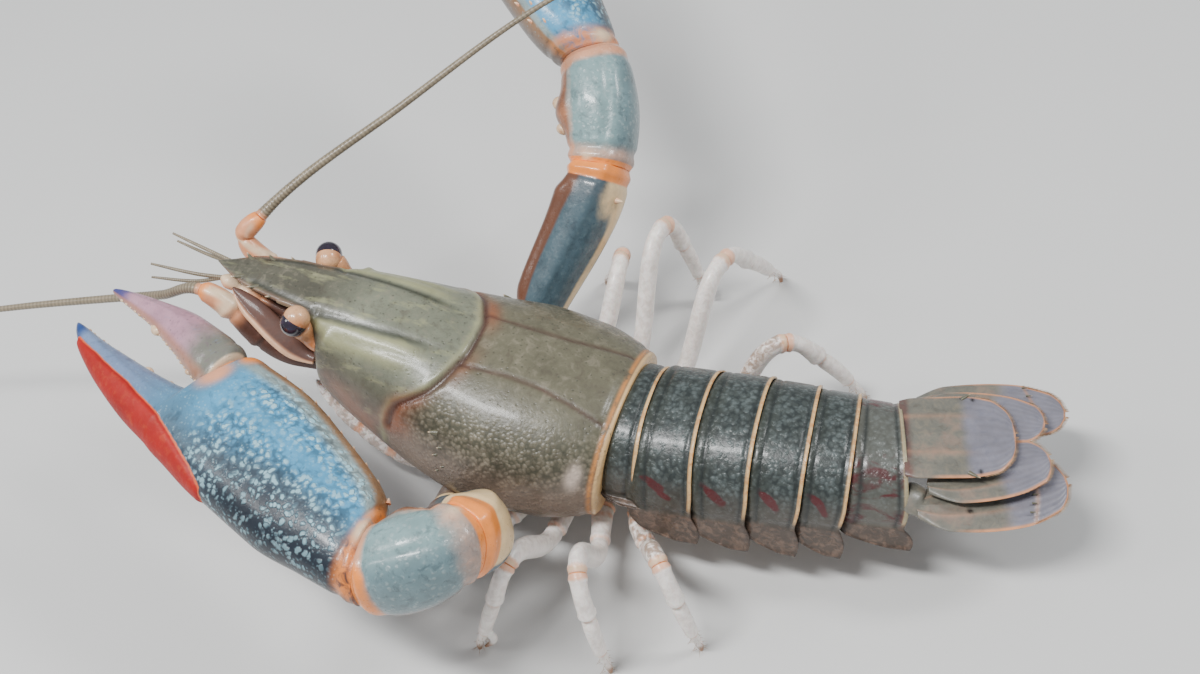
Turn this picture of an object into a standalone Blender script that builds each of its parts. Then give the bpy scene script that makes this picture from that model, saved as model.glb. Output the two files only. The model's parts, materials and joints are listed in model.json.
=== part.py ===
"""Redclaw crayfish, a life-size still model: shell, legs, claws, feelers and tail fan as separate pieces.

The head points to -X, the animal's left side to -Y, and the feet stand on Z = 0. Sizes are in
millimetres until the meshes are finished.
"""
import bisect
import math

import bmesh
import bpy
from mathutils import Matrix, Quaternion, Vector

MM = 0.001
GAP = 0.3
LEFT = -1
RIGHT = 1
SIDES = ((LEFT, "L"), (RIGHT, "R"))
UP = Vector((0, 0, 1))

# Carapace: its rear dorsal edge stands over x = 0, and it is pitched head up.
REAR_HEIGHT = 41.0
CARAPACE_PITCH = math.radians(10.5)
FRONT_FACE = 74.0
ROSTRUM_TIP = 104.5
WIDEST_AT = 0.6
UPPER_ROUND = 2.1
LOWER_ROUND = 3.1
UNDER_ARCH = 3.8
# Rows: distance forward of the rear edge, half width, top and lower margin above the rear edge.
CARAPACE_ROWS = (
    (0, 20.8, 0.0, -26.5),
    (4, 22.8, 0.9, -27.3),
    (14, 25.8, 2.1, -29.2),
    (26, 26.4, 2.9, -30.4),
    (36, 25.0, 2.7, -31.0),
    (46, 22.4, 3.7, -30.0),
    (58, 18.8, 4.9, -26.5),
    (68, 15.6, 5.1, -23.0),
    (74, 13.4, 4.3, -20.0),
)
# Rows: distance forward, half width, half thickness, middle height.
ROSTRUM_ROWS = (
    (62, 6.8, 2.0, 2.6),
    (74, 7.6, 2.2, 2.7),
    (86, 6.3, 1.8, 2.4),
    (95, 4.3, 1.4, 1.9),
    (100, 2.3, 1.0, 1.7),
    (104.5, 0.0, 0.0, 1.9),
)

# Abdomen, front to rear: length, half width, arch depth, yaw towards the right and pitch in degrees.
PLEOMERES = (
    (4.6, 17.4, 17.0, 2.0, -6.0),
    (12.6, 18.8, 18.0, 4.0, -0.5),
    (13.0, 18.8, 18.0, 5.0, -1.0),
    (11.8, 18.2, 17.4, 7.0, -7.0),
    (9.6, 17.2, 16.6, 9.0, -9.0),
    (10.2, 15.6, 15.0, 10.5, -9.0),
)
PLEURON_DROP = 8.2
PLEURON_FLARE = math.radians(10)
TELSON_LENGTH = 25.0
TELSON_YAW = 26.5
TELSON_PITCH = 0.5
UROPOD_LENGTH = 33.0
# Each outer leaf's root behind the telson's root, and how far out its tip lies.
UROPOD_PLACES = {"L": (2.6, 8.4), "R": (4.6, 10.6)}

# Limb joints of each side as (x, distance out from the midline, height).
CHELIPED_JOINTS = {
    "L": ((-41, 14.5, 12.4), (-38, 28.5, 18.5), (-17, 52.8, 48), (-35.2, 63, 45.5)),
    "R": ((-41, 14.5, 12.4), (-41, 29.5, 19.8), (-30.2, 62.9, 48), (-38.1, 85, 64)),
}
CLAW_DIRECTION = {"L": (-0.915, 0.385, 0.115), "R": (-0.66, 0.68, 0.32)}
CLAW_ROLL = {"L": 0, "R": -46}
LEG_JOINTS = {
    "2L": ((-25, 13.5, 12), (-36, 45, 14.5), (-57, 38, 0)),
    "3L": ((-15, 14, 12), (-15.5, 42.5, 26), (-25, 50, 0)),
    "4L": ((-6, 14, 12), (2.6, 43.4, 30), (7, 48, 0)),
    "5L": ((3, 13.5, 12), (18.5, 35.4, 28), (25, 37, 0)),
    "2R": ((-25, 13.5, 12), (-22.5, 50, 30), (-38, 67, 0)),
    "3R": ((-15, 14, 12), (-12.6, 57.5, 36), (-9, 67, 0)),
    "4R": ((-6, 14, 12), (5, 51, 34), (8, 78, 0)),
    "5R": ((3, 13.5, 12), (25.7, 33, 28), (41, 42.5, 0)),
}
# Number of each walking leg, and how far its root leans to the rear.
LEG_LEANS = ((2, 0.05), (3, 0.1), (4, 0.3), (5, 0.2))
# Each eye stalk's end and each eye's centre: distance forward of the carapace's rear, out and up.
EYE_PLACES = {"L": ((77.0, 11.0, 1.0), (78.0, 11.4, 3.6)), "R": ((78.7, 11.0, -0.2), (80.7, 11.1, 1.4))}
# Each antenna's last joints: the right one is bent back, and its whip starts at the last joint.
ANTENNA_JOINTS = {"L": ((-103.1, -8.2, 60.0),), "R": ((-101, 9.8, 59.6), (-97.4, 14.2, 64.2))}
# The flat scale over each antenna's base, as the eyes are placed.
SCALE_ROUTE = ((FRONT_FACE + GAP, 11.6, -8.4), (82, 10.6, -5.8), (91, 7.8, -2.1), (98, 5.2, 0.3))
FLAGELLA = {
    "L": ((-116, -8.2, 55.5), (-130, -8, 51.2), (-161, -13, 46), (-195, -20, 40), (-228, -28, 34)),
    "R": ((-69, 45, 78), (-40.5, 74, 90), (-5, 104, 97)),
}

FORWARD = Vector((-math.cos(CARAPACE_PITCH), 0, math.sin(CARAPACE_PITCH)))
RISE = Vector((math.sin(CARAPACE_PITCH), 0, math.cos(CARAPACE_PITCH)))
REAR = Vector((0, 0, REAR_HEIGHT))

COLOURS = {
    "shell": ((0.095, 0.105, 0.055), 0.25),
    "tail": ((0.035, 0.06, 0.06), 0.22),
    "fan": ((0.14, 0.135, 0.11), 0.28),
    "claw": ((0.06, 0.22, 0.36), 0.25),
    "arm": ((0.10, 0.17, 0.18), 0.22),
    "leg": ((0.62, 0.45, 0.36), 0.3),
    "feeler": ((0.32, 0.22, 0.11), 0.4),
    "eye": ((0.008, 0.006, 0.012), 0.08),
    "belly": ((0.42, 0.33, 0.26), 0.4),
}


def clear_scene():
    """Remove every object that the file opened with."""
    for thing in list(bpy.data.objects):
        bpy.data.objects.remove(thing, do_unlink=True)


def new_collection(name):
    """Make and link an empty collection."""
    group = bpy.data.collections.new(name)
    bpy.context.scene.collection.children.link(group)
    return group


def shell_material(name):
    """A glossy Principled material in the part's own colour."""
    made = bpy.data.materials.get(name)
    if made:
        return made
    colour, roughness = COLOURS[name]
    made = bpy.data.materials.new(name)
    made.use_nodes = True
    shader = made.node_tree.nodes["Principled BSDF"]
    shader.inputs["Base Color"].default_value = (*colour, 1)
    shader.inputs["Roughness"].default_value = roughness
    shader.inputs["Metallic"].default_value = 0.0
    return made


def smooth(rows):
    """Return a function that reads rows of (place, value, ...) along monotone cubic curves."""
    places = [row[0] for row in rows]
    spans = [b - a for a, b in zip(places, places[1:])]
    columns = []
    for column in range(1, len(rows[0])):
        values = [row[column] for row in rows]
        steps = [(b - a) / span for a, b, span in zip(values, values[1:], spans)]
        inner = [0.0 if a * b <= 0 else 2 * a * b / (a + b) for a, b in zip(steps, steps[1:])]
        columns.append((values, [steps[0], *inner, steps[-1]]))

    def read(place):
        place = min(max(place, places[0]), places[-1])
        k = min(bisect.bisect_right(places, place), len(spans)) - 1
        u = (place - places[k]) / spans[k]
        result = []
        for values, slopes in columns:
            ends = (1 + 2 * u) * (1 - u) ** 2 * values[k] + u * u * (3 - 2 * u) * values[k + 1]
            turns = u * (1 - u) ** 2 * slopes[k] - u * u * (1 - u) * slopes[k + 1]
            result.append(ends + turns * spans[k])
        return result

    return read


def power(value, exponent):
    """Raise the size of a signed value to a power and keep its sign."""
    return math.copysign(abs(value) ** exponent, value)


def wrapped(along, around, place):
    """A closed form from a grid: place(t, turn) is the point at t along it and turn round it."""
    form = bmesh.new()
    bmesh.ops.create_grid(form, x_segments=along, y_segments=around, size=0.5)
    for vert in form.verts:
        vert.co = place(round(vert.co.x + 0.5, 6), math.tau * round(vert.co.y + 0.5, 6))
    bmesh.ops.remove_doubles(form, verts=form.verts, dist=0.0005)
    bmesh.ops.holes_fill(form, edges=[edge for edge in form.edges if edge.is_boundary], sides=0)
    bmesh.ops.recalc_face_normals(form, faces=form.faces)
    return form


def curve_through(points, start=None, end=None):
    """Return a function of t for a smooth curve through points, with its end directions if given."""
    points = [Vector(point) for point in points]
    gaps = [(b - a).length for a, b in zip(points, points[1:])]
    marks = [sum(gaps[:k]) / sum(gaps) for k in range(len(points))]
    tangents = []
    for k, point in enumerate(points):
        before = points[max(k - 1, 0)]
        after = points[min(k + 1, len(points) - 1)]
        tangents.append((after - before).normalized())
    if start:
        tangents[0] = Vector(start).normalized()
    if end:
        tangents[-1] = Vector(end).normalized()

    def place(t):
        k = min(max(bisect.bisect_right(marks, t), 1), len(gaps)) - 1
        u = (t - marks[k]) / (marks[k + 1] - marks[k])
        near = points[k] * (1 + 2 * u) * (1 - u) ** 2 + tangents[k] * gaps[k] * u * (1 - u) ** 2
        far = points[k + 1] * u * u * (3 - 2 * u) - tangents[k + 1] * gaps[k] * u * u * (1 - u)
        return near + far

    return place


def limb(points, rows, start=None, end=None, up=UP, along=8, around=10, square=2.0):
    """A swept piece: rows give (t, half width, half depth); its ends are flat and meet its neighbours."""
    curve = curve_through(points, start, end)
    size = smooth(rows)

    def place(t, turn):
        ahead = curve(min(t + 0.002, 1)) - curve(max(t - 0.002, 0))
        if t == 0 and start:
            ahead = Vector(start)
        if t == 1 and end:
            ahead = Vector(end)
        ahead.normalize()
        side = ahead.cross(up).normalized()
        top = side.cross(ahead)
        half_width, half_depth = size(t)
        across = half_width * power(math.sin(turn), 2 / square)
        deep = half_depth * power(math.cos(turn), 2 / square)
        return curve(t) + side * across + top * deep

    return wrapped(along, around, place)


def spine(root, tip, radius, around=5):
    """A pointed spine with its root sunk in the piece that it grows from."""
    root = Vector(root)
    tip = Vector(tip)
    up = UP if abs((tip - root).normalized().z) < 0.9 else Vector((1, 0, 0))
    return limb([root, tip], ((0, radius, radius), (0.7, 0.45 * radius, 0.45 * radius), (1, 0, 0)),
                up=up, along=2, around=around)


def finish(name, form, slot, group, base):
    """Turn a millimetre form into a named, smooth-shaded object under the base."""
    bmesh.ops.triangulate(form, faces=[face for face in form.faces if len(face.verts) > 4])
    bmesh.ops.scale(form, vec=(MM, MM, MM), verts=form.verts)
    mesh = bpy.data.meshes.new(name)
    form.to_mesh(mesh)
    form.free()
    return place_mesh(name, mesh, slot, group, base)


def place_mesh(name, mesh, slot, group, base):
    """Link a finished mesh as one part of the animal."""
    mesh.shade_smooth()
    mesh.set_sharp_from_angle(angle=math.radians(40))
    mesh.materials.clear()
    mesh.materials.append(shell_material(slot))
    part = bpy.data.objects.new(name, mesh)
    part.parent = base
    group.objects.link(part)
    return part


def largest_surface(mesh):
    """Keep only the largest closed surface of a joined mesh."""
    form = bmesh.new()
    form.from_mesh(mesh)
    unseen = set(form.verts)
    surfaces = []
    while unseen:
        found = set()
        reached = {unseen.pop()}
        while reached:
            vert = reached.pop()
            found.add(vert)
            neighbours = {edge.other_vert(vert) for edge in vert.link_edges}
            reached |= neighbours - found
        unseen -= found
        surfaces.append(found)
    surfaces.sort(key=len)
    scraps = [vert for surface in surfaces[:-1] for vert in surface]
    bmesh.ops.delete(form, geom=scraps, context="VERTS")
    bmesh.ops.dissolve_degenerate(form, edges=form.edges, dist=0.000002)
    bmesh.ops.triangulate(form, faces=form.faces)
    form.to_mesh(mesh)
    form.free()


def fused(name, forms, slot, group, base):
    """Join closed forms into one body with a single Boolean union."""
    pieces = bpy.data.collections.new(name + "_pieces")
    bpy.context.scene.collection.children.link(pieces)
    hosts = [finish(f"{name}_{k}", form, slot, pieces, None) for k, form in enumerate(forms)]
    host = hosts[0]
    pieces.objects.unlink(host)
    group.objects.link(host)
    union = host.modifiers.new("join", "BOOLEAN")
    union.operation = "UNION"
    union.operand_type = "COLLECTION"
    union.collection = pieces
    union.solver = "EXACT"
    graph = bpy.context.evaluated_depsgraph_get()
    joined = bpy.data.meshes.new_from_object(host.evaluated_get(graph))
    for piece in hosts:
        bpy.data.objects.remove(piece, do_unlink=True)
    bpy.data.collections.remove(pieces)
    largest_surface(joined)
    joined.name = name
    return place_mesh(name, joined, slot, group, base)


def on_carapace(distance, across, height):
    """A point in the carapace's own frame: distance forward, across to the right, height above its rear."""
    return REAR + FORWARD * distance + Vector((0, across, 0)) + RISE * height


def carapace_form():
    """The closed carapace, from its rear rim to the flat face that the head's limbs grow from."""
    size = smooth(CARAPACE_ROWS)
    rim = 1.2

    def place(t, turn):
        distance = FRONT_FACE * t
        half, top, margin = size(distance)
        if t == 1:
            half -= rim
            top -= rim
            margin += rim
        middle = top - WIDEST_AT * (top - margin)
        across = half * power(math.sin(turn), 2 / (UPPER_ROUND if math.cos(turn) > 0 else LOWER_ROUND))
        if math.cos(turn) > 0:
            height = middle + (top - middle) * power(math.cos(turn), 2 / UPPER_ROUND)
        else:
            height = middle + (middle - margin) * power(math.cos(turn), 2 / LOWER_ROUND)
            height += UNDER_ARCH * max(0, 1 - (across / (0.8 * half)) ** 2) * -math.cos(turn)
        return on_carapace(distance, across, height)

    return wrapped(18, 28, place)


def rostrum_form():
    """The pointed rostrum, sunk in the front of the carapace."""
    points = [on_carapace(row[0], 0, row[3]) for row in ROSTRUM_ROWS]
    length = ROSTRUM_TIP - ROSTRUM_ROWS[0][0]
    rows = [((row[0] - ROSTRUM_ROWS[0][0]) / length, row[1], row[2]) for row in ROSTRUM_ROWS]
    return limb(points, rows, up=RISE, along=7, around=8, square=2.6)


def carapace_spines():
    """The ridges' front spines, the rostrum's teeth and the cervical spines."""
    forms = []
    for side, _ in SIDES:
        for distance, half in ((86, 6.3), (91.5, 5.2), (96.5, 3.7)):
            root = on_carapace(distance, side * (half - 1.2), 2.2)
            forms.append(spine(root, on_carapace(distance + 3.4, side * (half + 1.1), 2.9), 0.9))
        root = on_carapace(67, side * 10.4, 2.6)
        forms.append(spine(root, on_carapace(74.5, side * 11.6, 3.2), 1.1))
        root = on_carapace(34, side * 20.8, -5.5)
        forms.append(spine(root, on_carapace(38.5, side * 23.4, -4.2), 1.2))
        rows = ((0, 0.4, 0.4), (0.2, 1.0, 1.0), (0.8, 1.2, 1.2), (1, 0.6, 0.6))
        ridge = [on_carapace(46, side * 12.0, 1.0), on_carapace(57, side * 11.4, 2.3), on_carapace(68, side * 10.4, 2.8)]
        forms.append(limb(ridge, rows, up=RISE, along=4, around=6))
        carina = [on_carapace(48, side * 6.0, 2.8), on_carapace(70, side * 6.6, 4.3), on_carapace(88, side * 4.8, 3.7)]
        forms.append(limb(carina, rows, up=RISE, along=5, around=6))
    return forms


def tail_frames():
    """The frames of the joints along the abdomen: their X runs to the rear, Y to the right and Z up."""
    frames = []
    origin = REAR.copy()
    yaw = 0.0
    pitch = -CARAPACE_PITCH
    frames.append(Matrix.Translation(origin) @ Matrix.Rotation(-pitch, 4, "Y"))
    for k, (length, _, _, turn, slope) in enumerate(PLEOMERES):
        heading = Matrix.Rotation(math.radians(turn), 4, "Z") @ Matrix.Rotation(-math.radians(slope), 4, "Y")
        origin = origin + heading @ Vector((length, 0, 0))
        if k + 1 < len(PLEOMERES):
            next_turn, next_slope = PLEOMERES[k + 1][3:]
        else:
            next_turn, next_slope = TELSON_YAW, TELSON_PITCH
        yaw = math.radians(turn + next_turn) / 2
        pitch = math.radians(slope + next_slope) / 2
        frames.append(Matrix.Translation(origin) @ Matrix.Rotation(yaw, 4, "Z") @ Matrix.Rotation(-pitch, 4, "Y"))
    return frames


def pleomere_form(number, front, rear):
    """One ring of the abdomen between two joint frames."""
    _, half, depth, _, _ = PLEOMERES[number]
    swell = smooth(((0, -0.9), (0.35, -0.2), (0.85, 0.1), (1, -0.1)))

    def place(t, turn):
        grow = swell(t)[0]
        across = (half + grow) * power(math.sin(turn), 2 / 2.3)
        rise = math.cos(turn)
        height = -depth + (depth + grow) * power(rise, 2 / 2.2) if rise > 0 else -depth + 2.2 * rise * rise
        start = front @ Vector((GAP / 2, across, height))
        stop = rear @ Vector((-GAP / 2, across, height))
        return start.lerp(stop, t)

    return wrapped(3, 20, place)


def side_plates(number, front, rear):
    """The two pleura that hang from a ring's sides, and its swimmerets."""
    length, half, depth, _, _ = PLEOMERES[number]
    middle = front.lerp(rear, 0.5)
    forms = []
    for side, _ in SIDES[:2 * (number > 0)]:
        reach = 0.5 * length - 0.55
        drop = PLEURON_DROP * (0.6 if number == 5 else 1)
        top = middle @ Vector((0, side * (half - 2.0), -depth + 4))
        bend = middle @ Vector((0.12 * length, side * (half - 0.7), -depth - 0.3 * drop))
        tip = middle @ Vector((0.5 * length + 5.0, side * (half + 0.2), -depth - drop))
        rows = ((0, 0.9 * reach, 1.0), (0.5, 0.85 * reach, 0.9), (0.8, 0.5 * reach, 0.7), (1, 0.5, 0.35))
        across = middle.to_3x3() @ Vector((-side * math.sin(PLEURON_FLARE), math.cos(PLEURON_FLARE), 0))
        forms.append(limb([top, bend, tip], rows, up=across, along=4, around=6))
        if 1 <= number <= 4:
            root = middle @ Vector((0, side * 9, -depth + 1.6))
            low = middle @ Vector((2.5, side * 8, -depth - 6))
            end = middle @ Vector((5.0, side * 6.5, -depth - 11.5))
            rows = ((0, 1.2, 0.9), (0.3, 0.9, 0.7), (0.6, 2.2, 0.6), (0.9, 1.5, 0.5), (1, 0.3, 0.3))
            lie = middle.to_3x3() @ Vector((1, 0, 0.3))
            forms.append(limb([root, low, end], rows, up=lie, along=4, around=6))
    return forms


def blade(frame, root, tip, tilt, rows):
    """A flat leaf of the tail fan, from root to tip in the fan's frame, tilted about its length."""
    points = [frame @ Vector(root), frame @ Vector(tip)]
    up = frame.to_3x3() @ Vector((0, math.sin(tilt), math.cos(tilt)))
    return limb(points, rows, up=up, start=frame.to_3x3() @ Vector((1, 0, 0)), along=8, around=10, square=2.0)


def telson_forms(frame):
    """The middle leaf of the tail fan with its pair of side spines."""
    start = GAP / 2
    rows = ((0, 10.6, 1.6), (0.12, 11.4, 1.5), (0.55, 11.6, 1.1), (0.8, 10.4, 0.8), (0.93, 7.4, 0.6), (1, 0.6, 0.3))
    forms = [blade(frame, (start, 0, -2.2), (TELSON_LENGTH, 0, -2.2), 0, rows)]
    for side, _ in SIDES:
        root = frame @ Vector((13.5, side * 9.6, -1.9))
        forms.append(spine(root, frame @ Vector((17.2, side * 11.9, -1.6)), 0.9))
    return forms


def uropod_forms(frame, name, side):
    """The inner leaf, and the outer leaf joined to the stalk that carries both."""
    lift = math.radians(3)
    droop = math.radians(8)
    inner_rows = ((0, 2.0, 1.0), (0.25, 5.6, 0.75), (0.65, 7.0, 0.6), (0.88, 5.8, 0.5), (1, 0.6, 0.3))
    outer_rows = ((0, 2.4, 1.0), (0.2, 6.6, 0.8), (0.65, 8.8, 0.6), (0.88, 7.0, 0.5), (1, 0.8, 0.3))
    root, outer_out = UROPOD_PLACES[name]
    inner = blade(frame, (5.2, side * 11.0, -5.4), (UROPOD_LENGTH - 1, side * 4.5, -4.6), side * lift, inner_rows)
    outer_tip = (root + UROPOD_LENGTH, side * outer_out, -8.0)
    outer = blade(frame, (root, side * 14.6, -8.4), outer_tip, side * droop, outer_rows)
    stalk_rows = ((0, 3.4, 2.0), (0.5, 3.8, 2.2), (1, 3.2, 1.4))
    ahead = frame.to_3x3() @ Vector((1, 0, 0))
    stalk_ends = [frame @ Vector((0.5 + GAP, side * 11.6, -7.6)), frame @ Vector((root + 2, side * 13.4, -9.0))]
    stalk = limb(stalk_ends, stalk_rows, start=ahead, end=ahead, up=frame.to_3x3() @ UP, along=3, around=10)
    return inner, [outer, stalk]


def sided(point, side):
    """A point given by its distance out from the midline, on one side."""
    return Vector((point[0], side * point[1], point[2]))


def joint_directions(points, first, last=None):
    """The direction of travel through each joint of a chain."""
    chords = [(b - a).normalized() for a, b in zip(points, points[1:])]
    ahead = [first]
    for before, after in zip(chords, chords[1:]):
        ahead.append((before + after).normalized())
    ahead.append(last or chords[-1])
    return ahead


def between(start, stop, start_way, stop_way):
    """The two ends of a piece, each drawn back by half the gap."""
    return [start + start_way * GAP / 2, stop - stop_way * GAP / 2]


def coxa_way(side, lean):
    """The direction that a leg leaves the body in."""
    return Vector((lean, side, 0.05)).normalized()


def sternum_forms():
    """The underside of the thorax with a short round coxa for every leg."""
    rows = ((0, 7.0, 2.0), (0.1, 9.5, 3.4), (0.5, 9.0, 3.8), (0.85, 6.5, 3.4), (1, 4.0, 2.0))
    spinal = [Vector((2, 0, 13.2)), Vector((-30, 0, 13.2)), Vector((-62, 0, 16.5))]
    forms = [limb(spinal, rows, up=UP, along=6, around=10, square=2.4)]
    for side, name in SIDES:
        ends = [(CHELIPED_JOINTS[name][0], -0.2, 4.8)]
        ends += [(LEG_JOINTS[f"{number}{name}"][0], lean, 2.9) for number, lean in LEG_LEANS]
        for place, lean, radius in ends:
            end = sided(place, side)
            way = coxa_way(side, lean)
            root = end - way * 8.5
            coxa_rows = ((0, 0.8 * radius, 0.8 * radius), (0.5, radius, radius), (1, 0.9 * radius, 0.9 * radius))
            forms.append(limb([root, end - way * GAP / 2], coxa_rows, start=way, end=way, along=2, around=8))
    return forms


def leg_forms(number, name, side):
    """The upper and the lower part of one walking leg."""
    hip, knee, foot = [sided(point, side) for point in LEG_JOINTS[f"{number}{name}"]]
    way = coxa_way(side, dict(LEG_LEANS)[number])
    knee_way = ((knee - hip).normalized() + (foot - knee).normalized()).normalized()
    thick = 0.92 if number == 5 else 1.0
    upper_rows = ((0, 2.6 * thick, 2.6 * thick), (0.3, 2.1, 2.4 * thick), (0.7, 2.1, 2.7 * thick), (1, 2.0, 2.3))
    across = Vector((0, 0, 1)) if abs(knee_way.z) < 0.9 else Vector((1, 0, 0))
    root, end = between(hip, knee, way, knee_way)
    under = root.lerp(end, 0.4)
    under.z = root.z + 0.6
    upper = limb([root, under, end], upper_rows, start=way, end=knee_way, up=across, along=8, around=8)
    outward = (knee - hip)
    outward.z = 0
    outward.normalize()
    shin = knee.lerp(foot, 0.36) + outward * 2.5
    down = Vector((0, 0, -1))
    wrist = shin.lerp(foot, 0.55) + outward * 0.8
    lower_rows = ((0, 2.0, 2.2), (0.12, 1.9, 2.0), (0.3, 2.0, 2.3), (0.36, 1.7, 1.8), (0.42, 1.8, 2.0),
                  (0.66, 1.6, 1.8), (0.74, 1.2, 1.3), (0.9, 0.9, 0.9), (1, 0.5, 0.5))
    lower = [limb([knee + knee_way * GAP / 2, shin, wrist, foot], lower_rows, start=knee_way, end=down,
                  up=outward, along=12, around=8)]
    if number in (2, 3):
        root = shin.lerp(foot, 0.5) + outward * 1.2 + Vector((1.0, 0, 0))
        near = shin.lerp(foot, 0.75) + Vector((2.7, 0, 0))
        end = foot + Vector((1.6, 0, 1.2))
        rows = ((0, 1.0, 1.0), (0.5, 0.85, 0.9), (1, 0.3, 0.3))
        lower.append(limb([root, near, end], rows, up=outward, along=4, around=6))
    return upper, lower


def cheliped_joints(name, side):
    """The joints of one claw-bearing limb, its directions of travel and the claw's direction."""
    points = [sided(point, side) for point in CHELIPED_JOINTS[name]]
    reach = CLAW_DIRECTION[name]
    claw_way = Vector(reach).normalized()
    ways = joint_directions(points + [points[-1] + claw_way], coxa_way(side, -0.2))
    return points, ways, claw_way


def arm_forms(name, side):
    """The ischium, merus and carpus of one claw-bearing limb, each a list of forms to join."""
    points, ways, _ = cheliped_joints(name, side)
    ends = [between(points[k], points[k + 1], ways[k], ways[k + 1]) for k in range(3)]
    ischium_rows = ((0, 4.3, 4.3), (0.5, 4.9, 4.7), (1, 4.9, 5.1))
    merus_rows = ((0, 4.9, 5.1), (0.2, 5.6, 6.6), (0.6, 6.8, 8.0), (0.9, 7.6, 8.8), (1, 7.2, 8.2))
    carpus_rows = ((0, 7.2, 8.0), (0.2, 8.6, 9.0), (0.55, 9.4, 10.2), (0.85, 9.0, 9.6), (1, 7.6, 7.6))
    ischium = limb(ends[0], ischium_rows, start=ways[0], end=ways[1], along=3, around=12)
    merus = limb(ends[1], merus_rows, start=ways[1], end=ways[2], along=9, around=14, square=2.3)
    carpus = limb(ends[2], carpus_rows, start=ways[2], end=ways[3], along=9, around=16, square=2.4)
    return [ischium], [merus], [carpus]


def claw_frame(name, side):
    """The claw's frame: X from the wrist to the tips, Y to the inner edge, Z out of the upper face."""
    points, ways, claw_way = cheliped_joints(name, side)
    inner = (claw_way.cross(UP) * -side).normalized()
    inner.rotate(Quaternion(claw_way, math.radians(-side * CLAW_ROLL[name])))
    face = (claw_way.cross(inner) * side).normalized()
    frame = Matrix((claw_way, inner, face)).transposed().to_4x4()
    frame.translation = points[-1]
    return frame, ways[3]


# Rows of the palm and fixed finger: place along, inner edge, outer edge, half thickness.
PALM_ROWS = (
    (0, 9.0, -7.4, 7.0),
    (4, 12.4, -8.6, 8.2),
    (12, 15.6, -10.4, 9.2),
    (25, 18.6, -12.6, 9.8),
    (45, 21.6, -12.4, 9.4),
    (57, 21.0, -11.4, 8.6),
    (62, 19.6, -11.0, 8.2),
)
FINGER_ROWS = (
    (62.4, 5.0, -10.7, 6.6),
    (72, 3.2, -10.0, 5.8),
    (84, 1.6, -8.0, 4.6),
    (95, 0.6, -5.0, 3.2),
    (101, 0.5, -2.4, 2.0),
    (104, 0.1, -0.1, 0.1),
)
# Rows of the movable finger: place along, inner edge, outer edge, half thickness.
DACTYL_ROWS = (
    (62.9, 19.2, 6.6, 6.2),
    (67, 20.8, 7.2, 6.2),
    (80, 20.4, 9.6, 4.7),
    (93, 17.2, 11.2, 2.9),
    (101, 14.4, 11.2, 1.9),
    (106, 12.4, 11.4, 0.6),
)


def finger_form(frame, rows, along, around, first_way=None):
    """A flattened claw piece from rows of (place, inner edge, outer edge, half thickness)."""
    size = smooth(rows)
    places = [row[0] for row in rows]
    count = len(rows) - 1
    steps = smooth([(k / count, place) for k, place in enumerate(places)])

    def place(t, turn):
        along_claw = steps(t)[0]
        inner, outer, thick = size(along_claw)
        if t == 1 and thick < 1:
            inner = outer = (inner + outer) / 2
            thick = 0
        middle = (inner + outer) / 2
        across = middle + (inner - outer) / 2 * power(math.sin(turn), 2 / 2.1)
        return frame @ Vector((along_claw, across, thick * power(math.cos(turn), 2 / 2.1)))

    return wrapped(along, around, place)


def palm_form(frame, wrist_way):
    """The palm with its fixed finger in one body, narrowed for the movable finger's hinge."""
    rows = PALM_ROWS + FINGER_ROWS
    size = smooth(rows)
    places = [row[0] for row in rows]
    marks = []
    for low, high in zip(places, places[1:]):
        parts = max(1, round((high - low) / 6))
        marks += [low + (high - low) * k / parts for k in range(parts)]
    marks.append(places[-1])
    count = len(marks) - 1
    normal = frame.to_3x3().inverted() @ wrist_way

    def place(t, turn):
        along_claw = marks[round(t * count)]
        inner, outer, thick = size(along_claw)
        if t == 1:
            inner = outer = 0
            thick = 0
        middle = (inner + outer) / 2
        across = middle + (inner - outer) / 2 * power(math.sin(turn), 2 / 2.1)
        deep = thick * power(math.cos(turn), 2 / 2.1)
        lean = max(0, 1 - along_claw / 14) ** 2
        slide = -(normal.y * across + normal.z * deep) / normal.x * lean
        return frame @ Vector((along_claw + slide + GAP / 2, across, deep))

    return wrapped(count, 16, place)


def claw_forms(name, side):
    """The palm with its fixed finger and teeth, and the movable finger."""
    frame, wrist_way = claw_frame(name, side)
    palm = [palm_form(frame, wrist_way)]
    finger = [finger_form(frame, DACTYL_ROWS, 8, 12)]
    for place, size in ((70, 1.2), (75, 1.5), (80, 1.2), (85, 1.0)):
        edge = smooth(FINGER_ROWS)(place)[0]
        root = frame @ Vector((place, edge - 1.4, 0))
        palm.append(spine(root, frame @ Vector((place + 0.4, edge + 1.5 * size, 0)), size))
    for place, size in ((74, 1.0), (79, 1.5), (84, 1.1)):
        edge = smooth(DACTYL_ROWS)(place)[1]
        root = frame @ Vector((place, edge + 1.4, 0))
        finger.append(spine(root, frame @ Vector((place + 0.4, edge - 1.5 * size, 0)), size))
    return palm, finger


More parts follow.
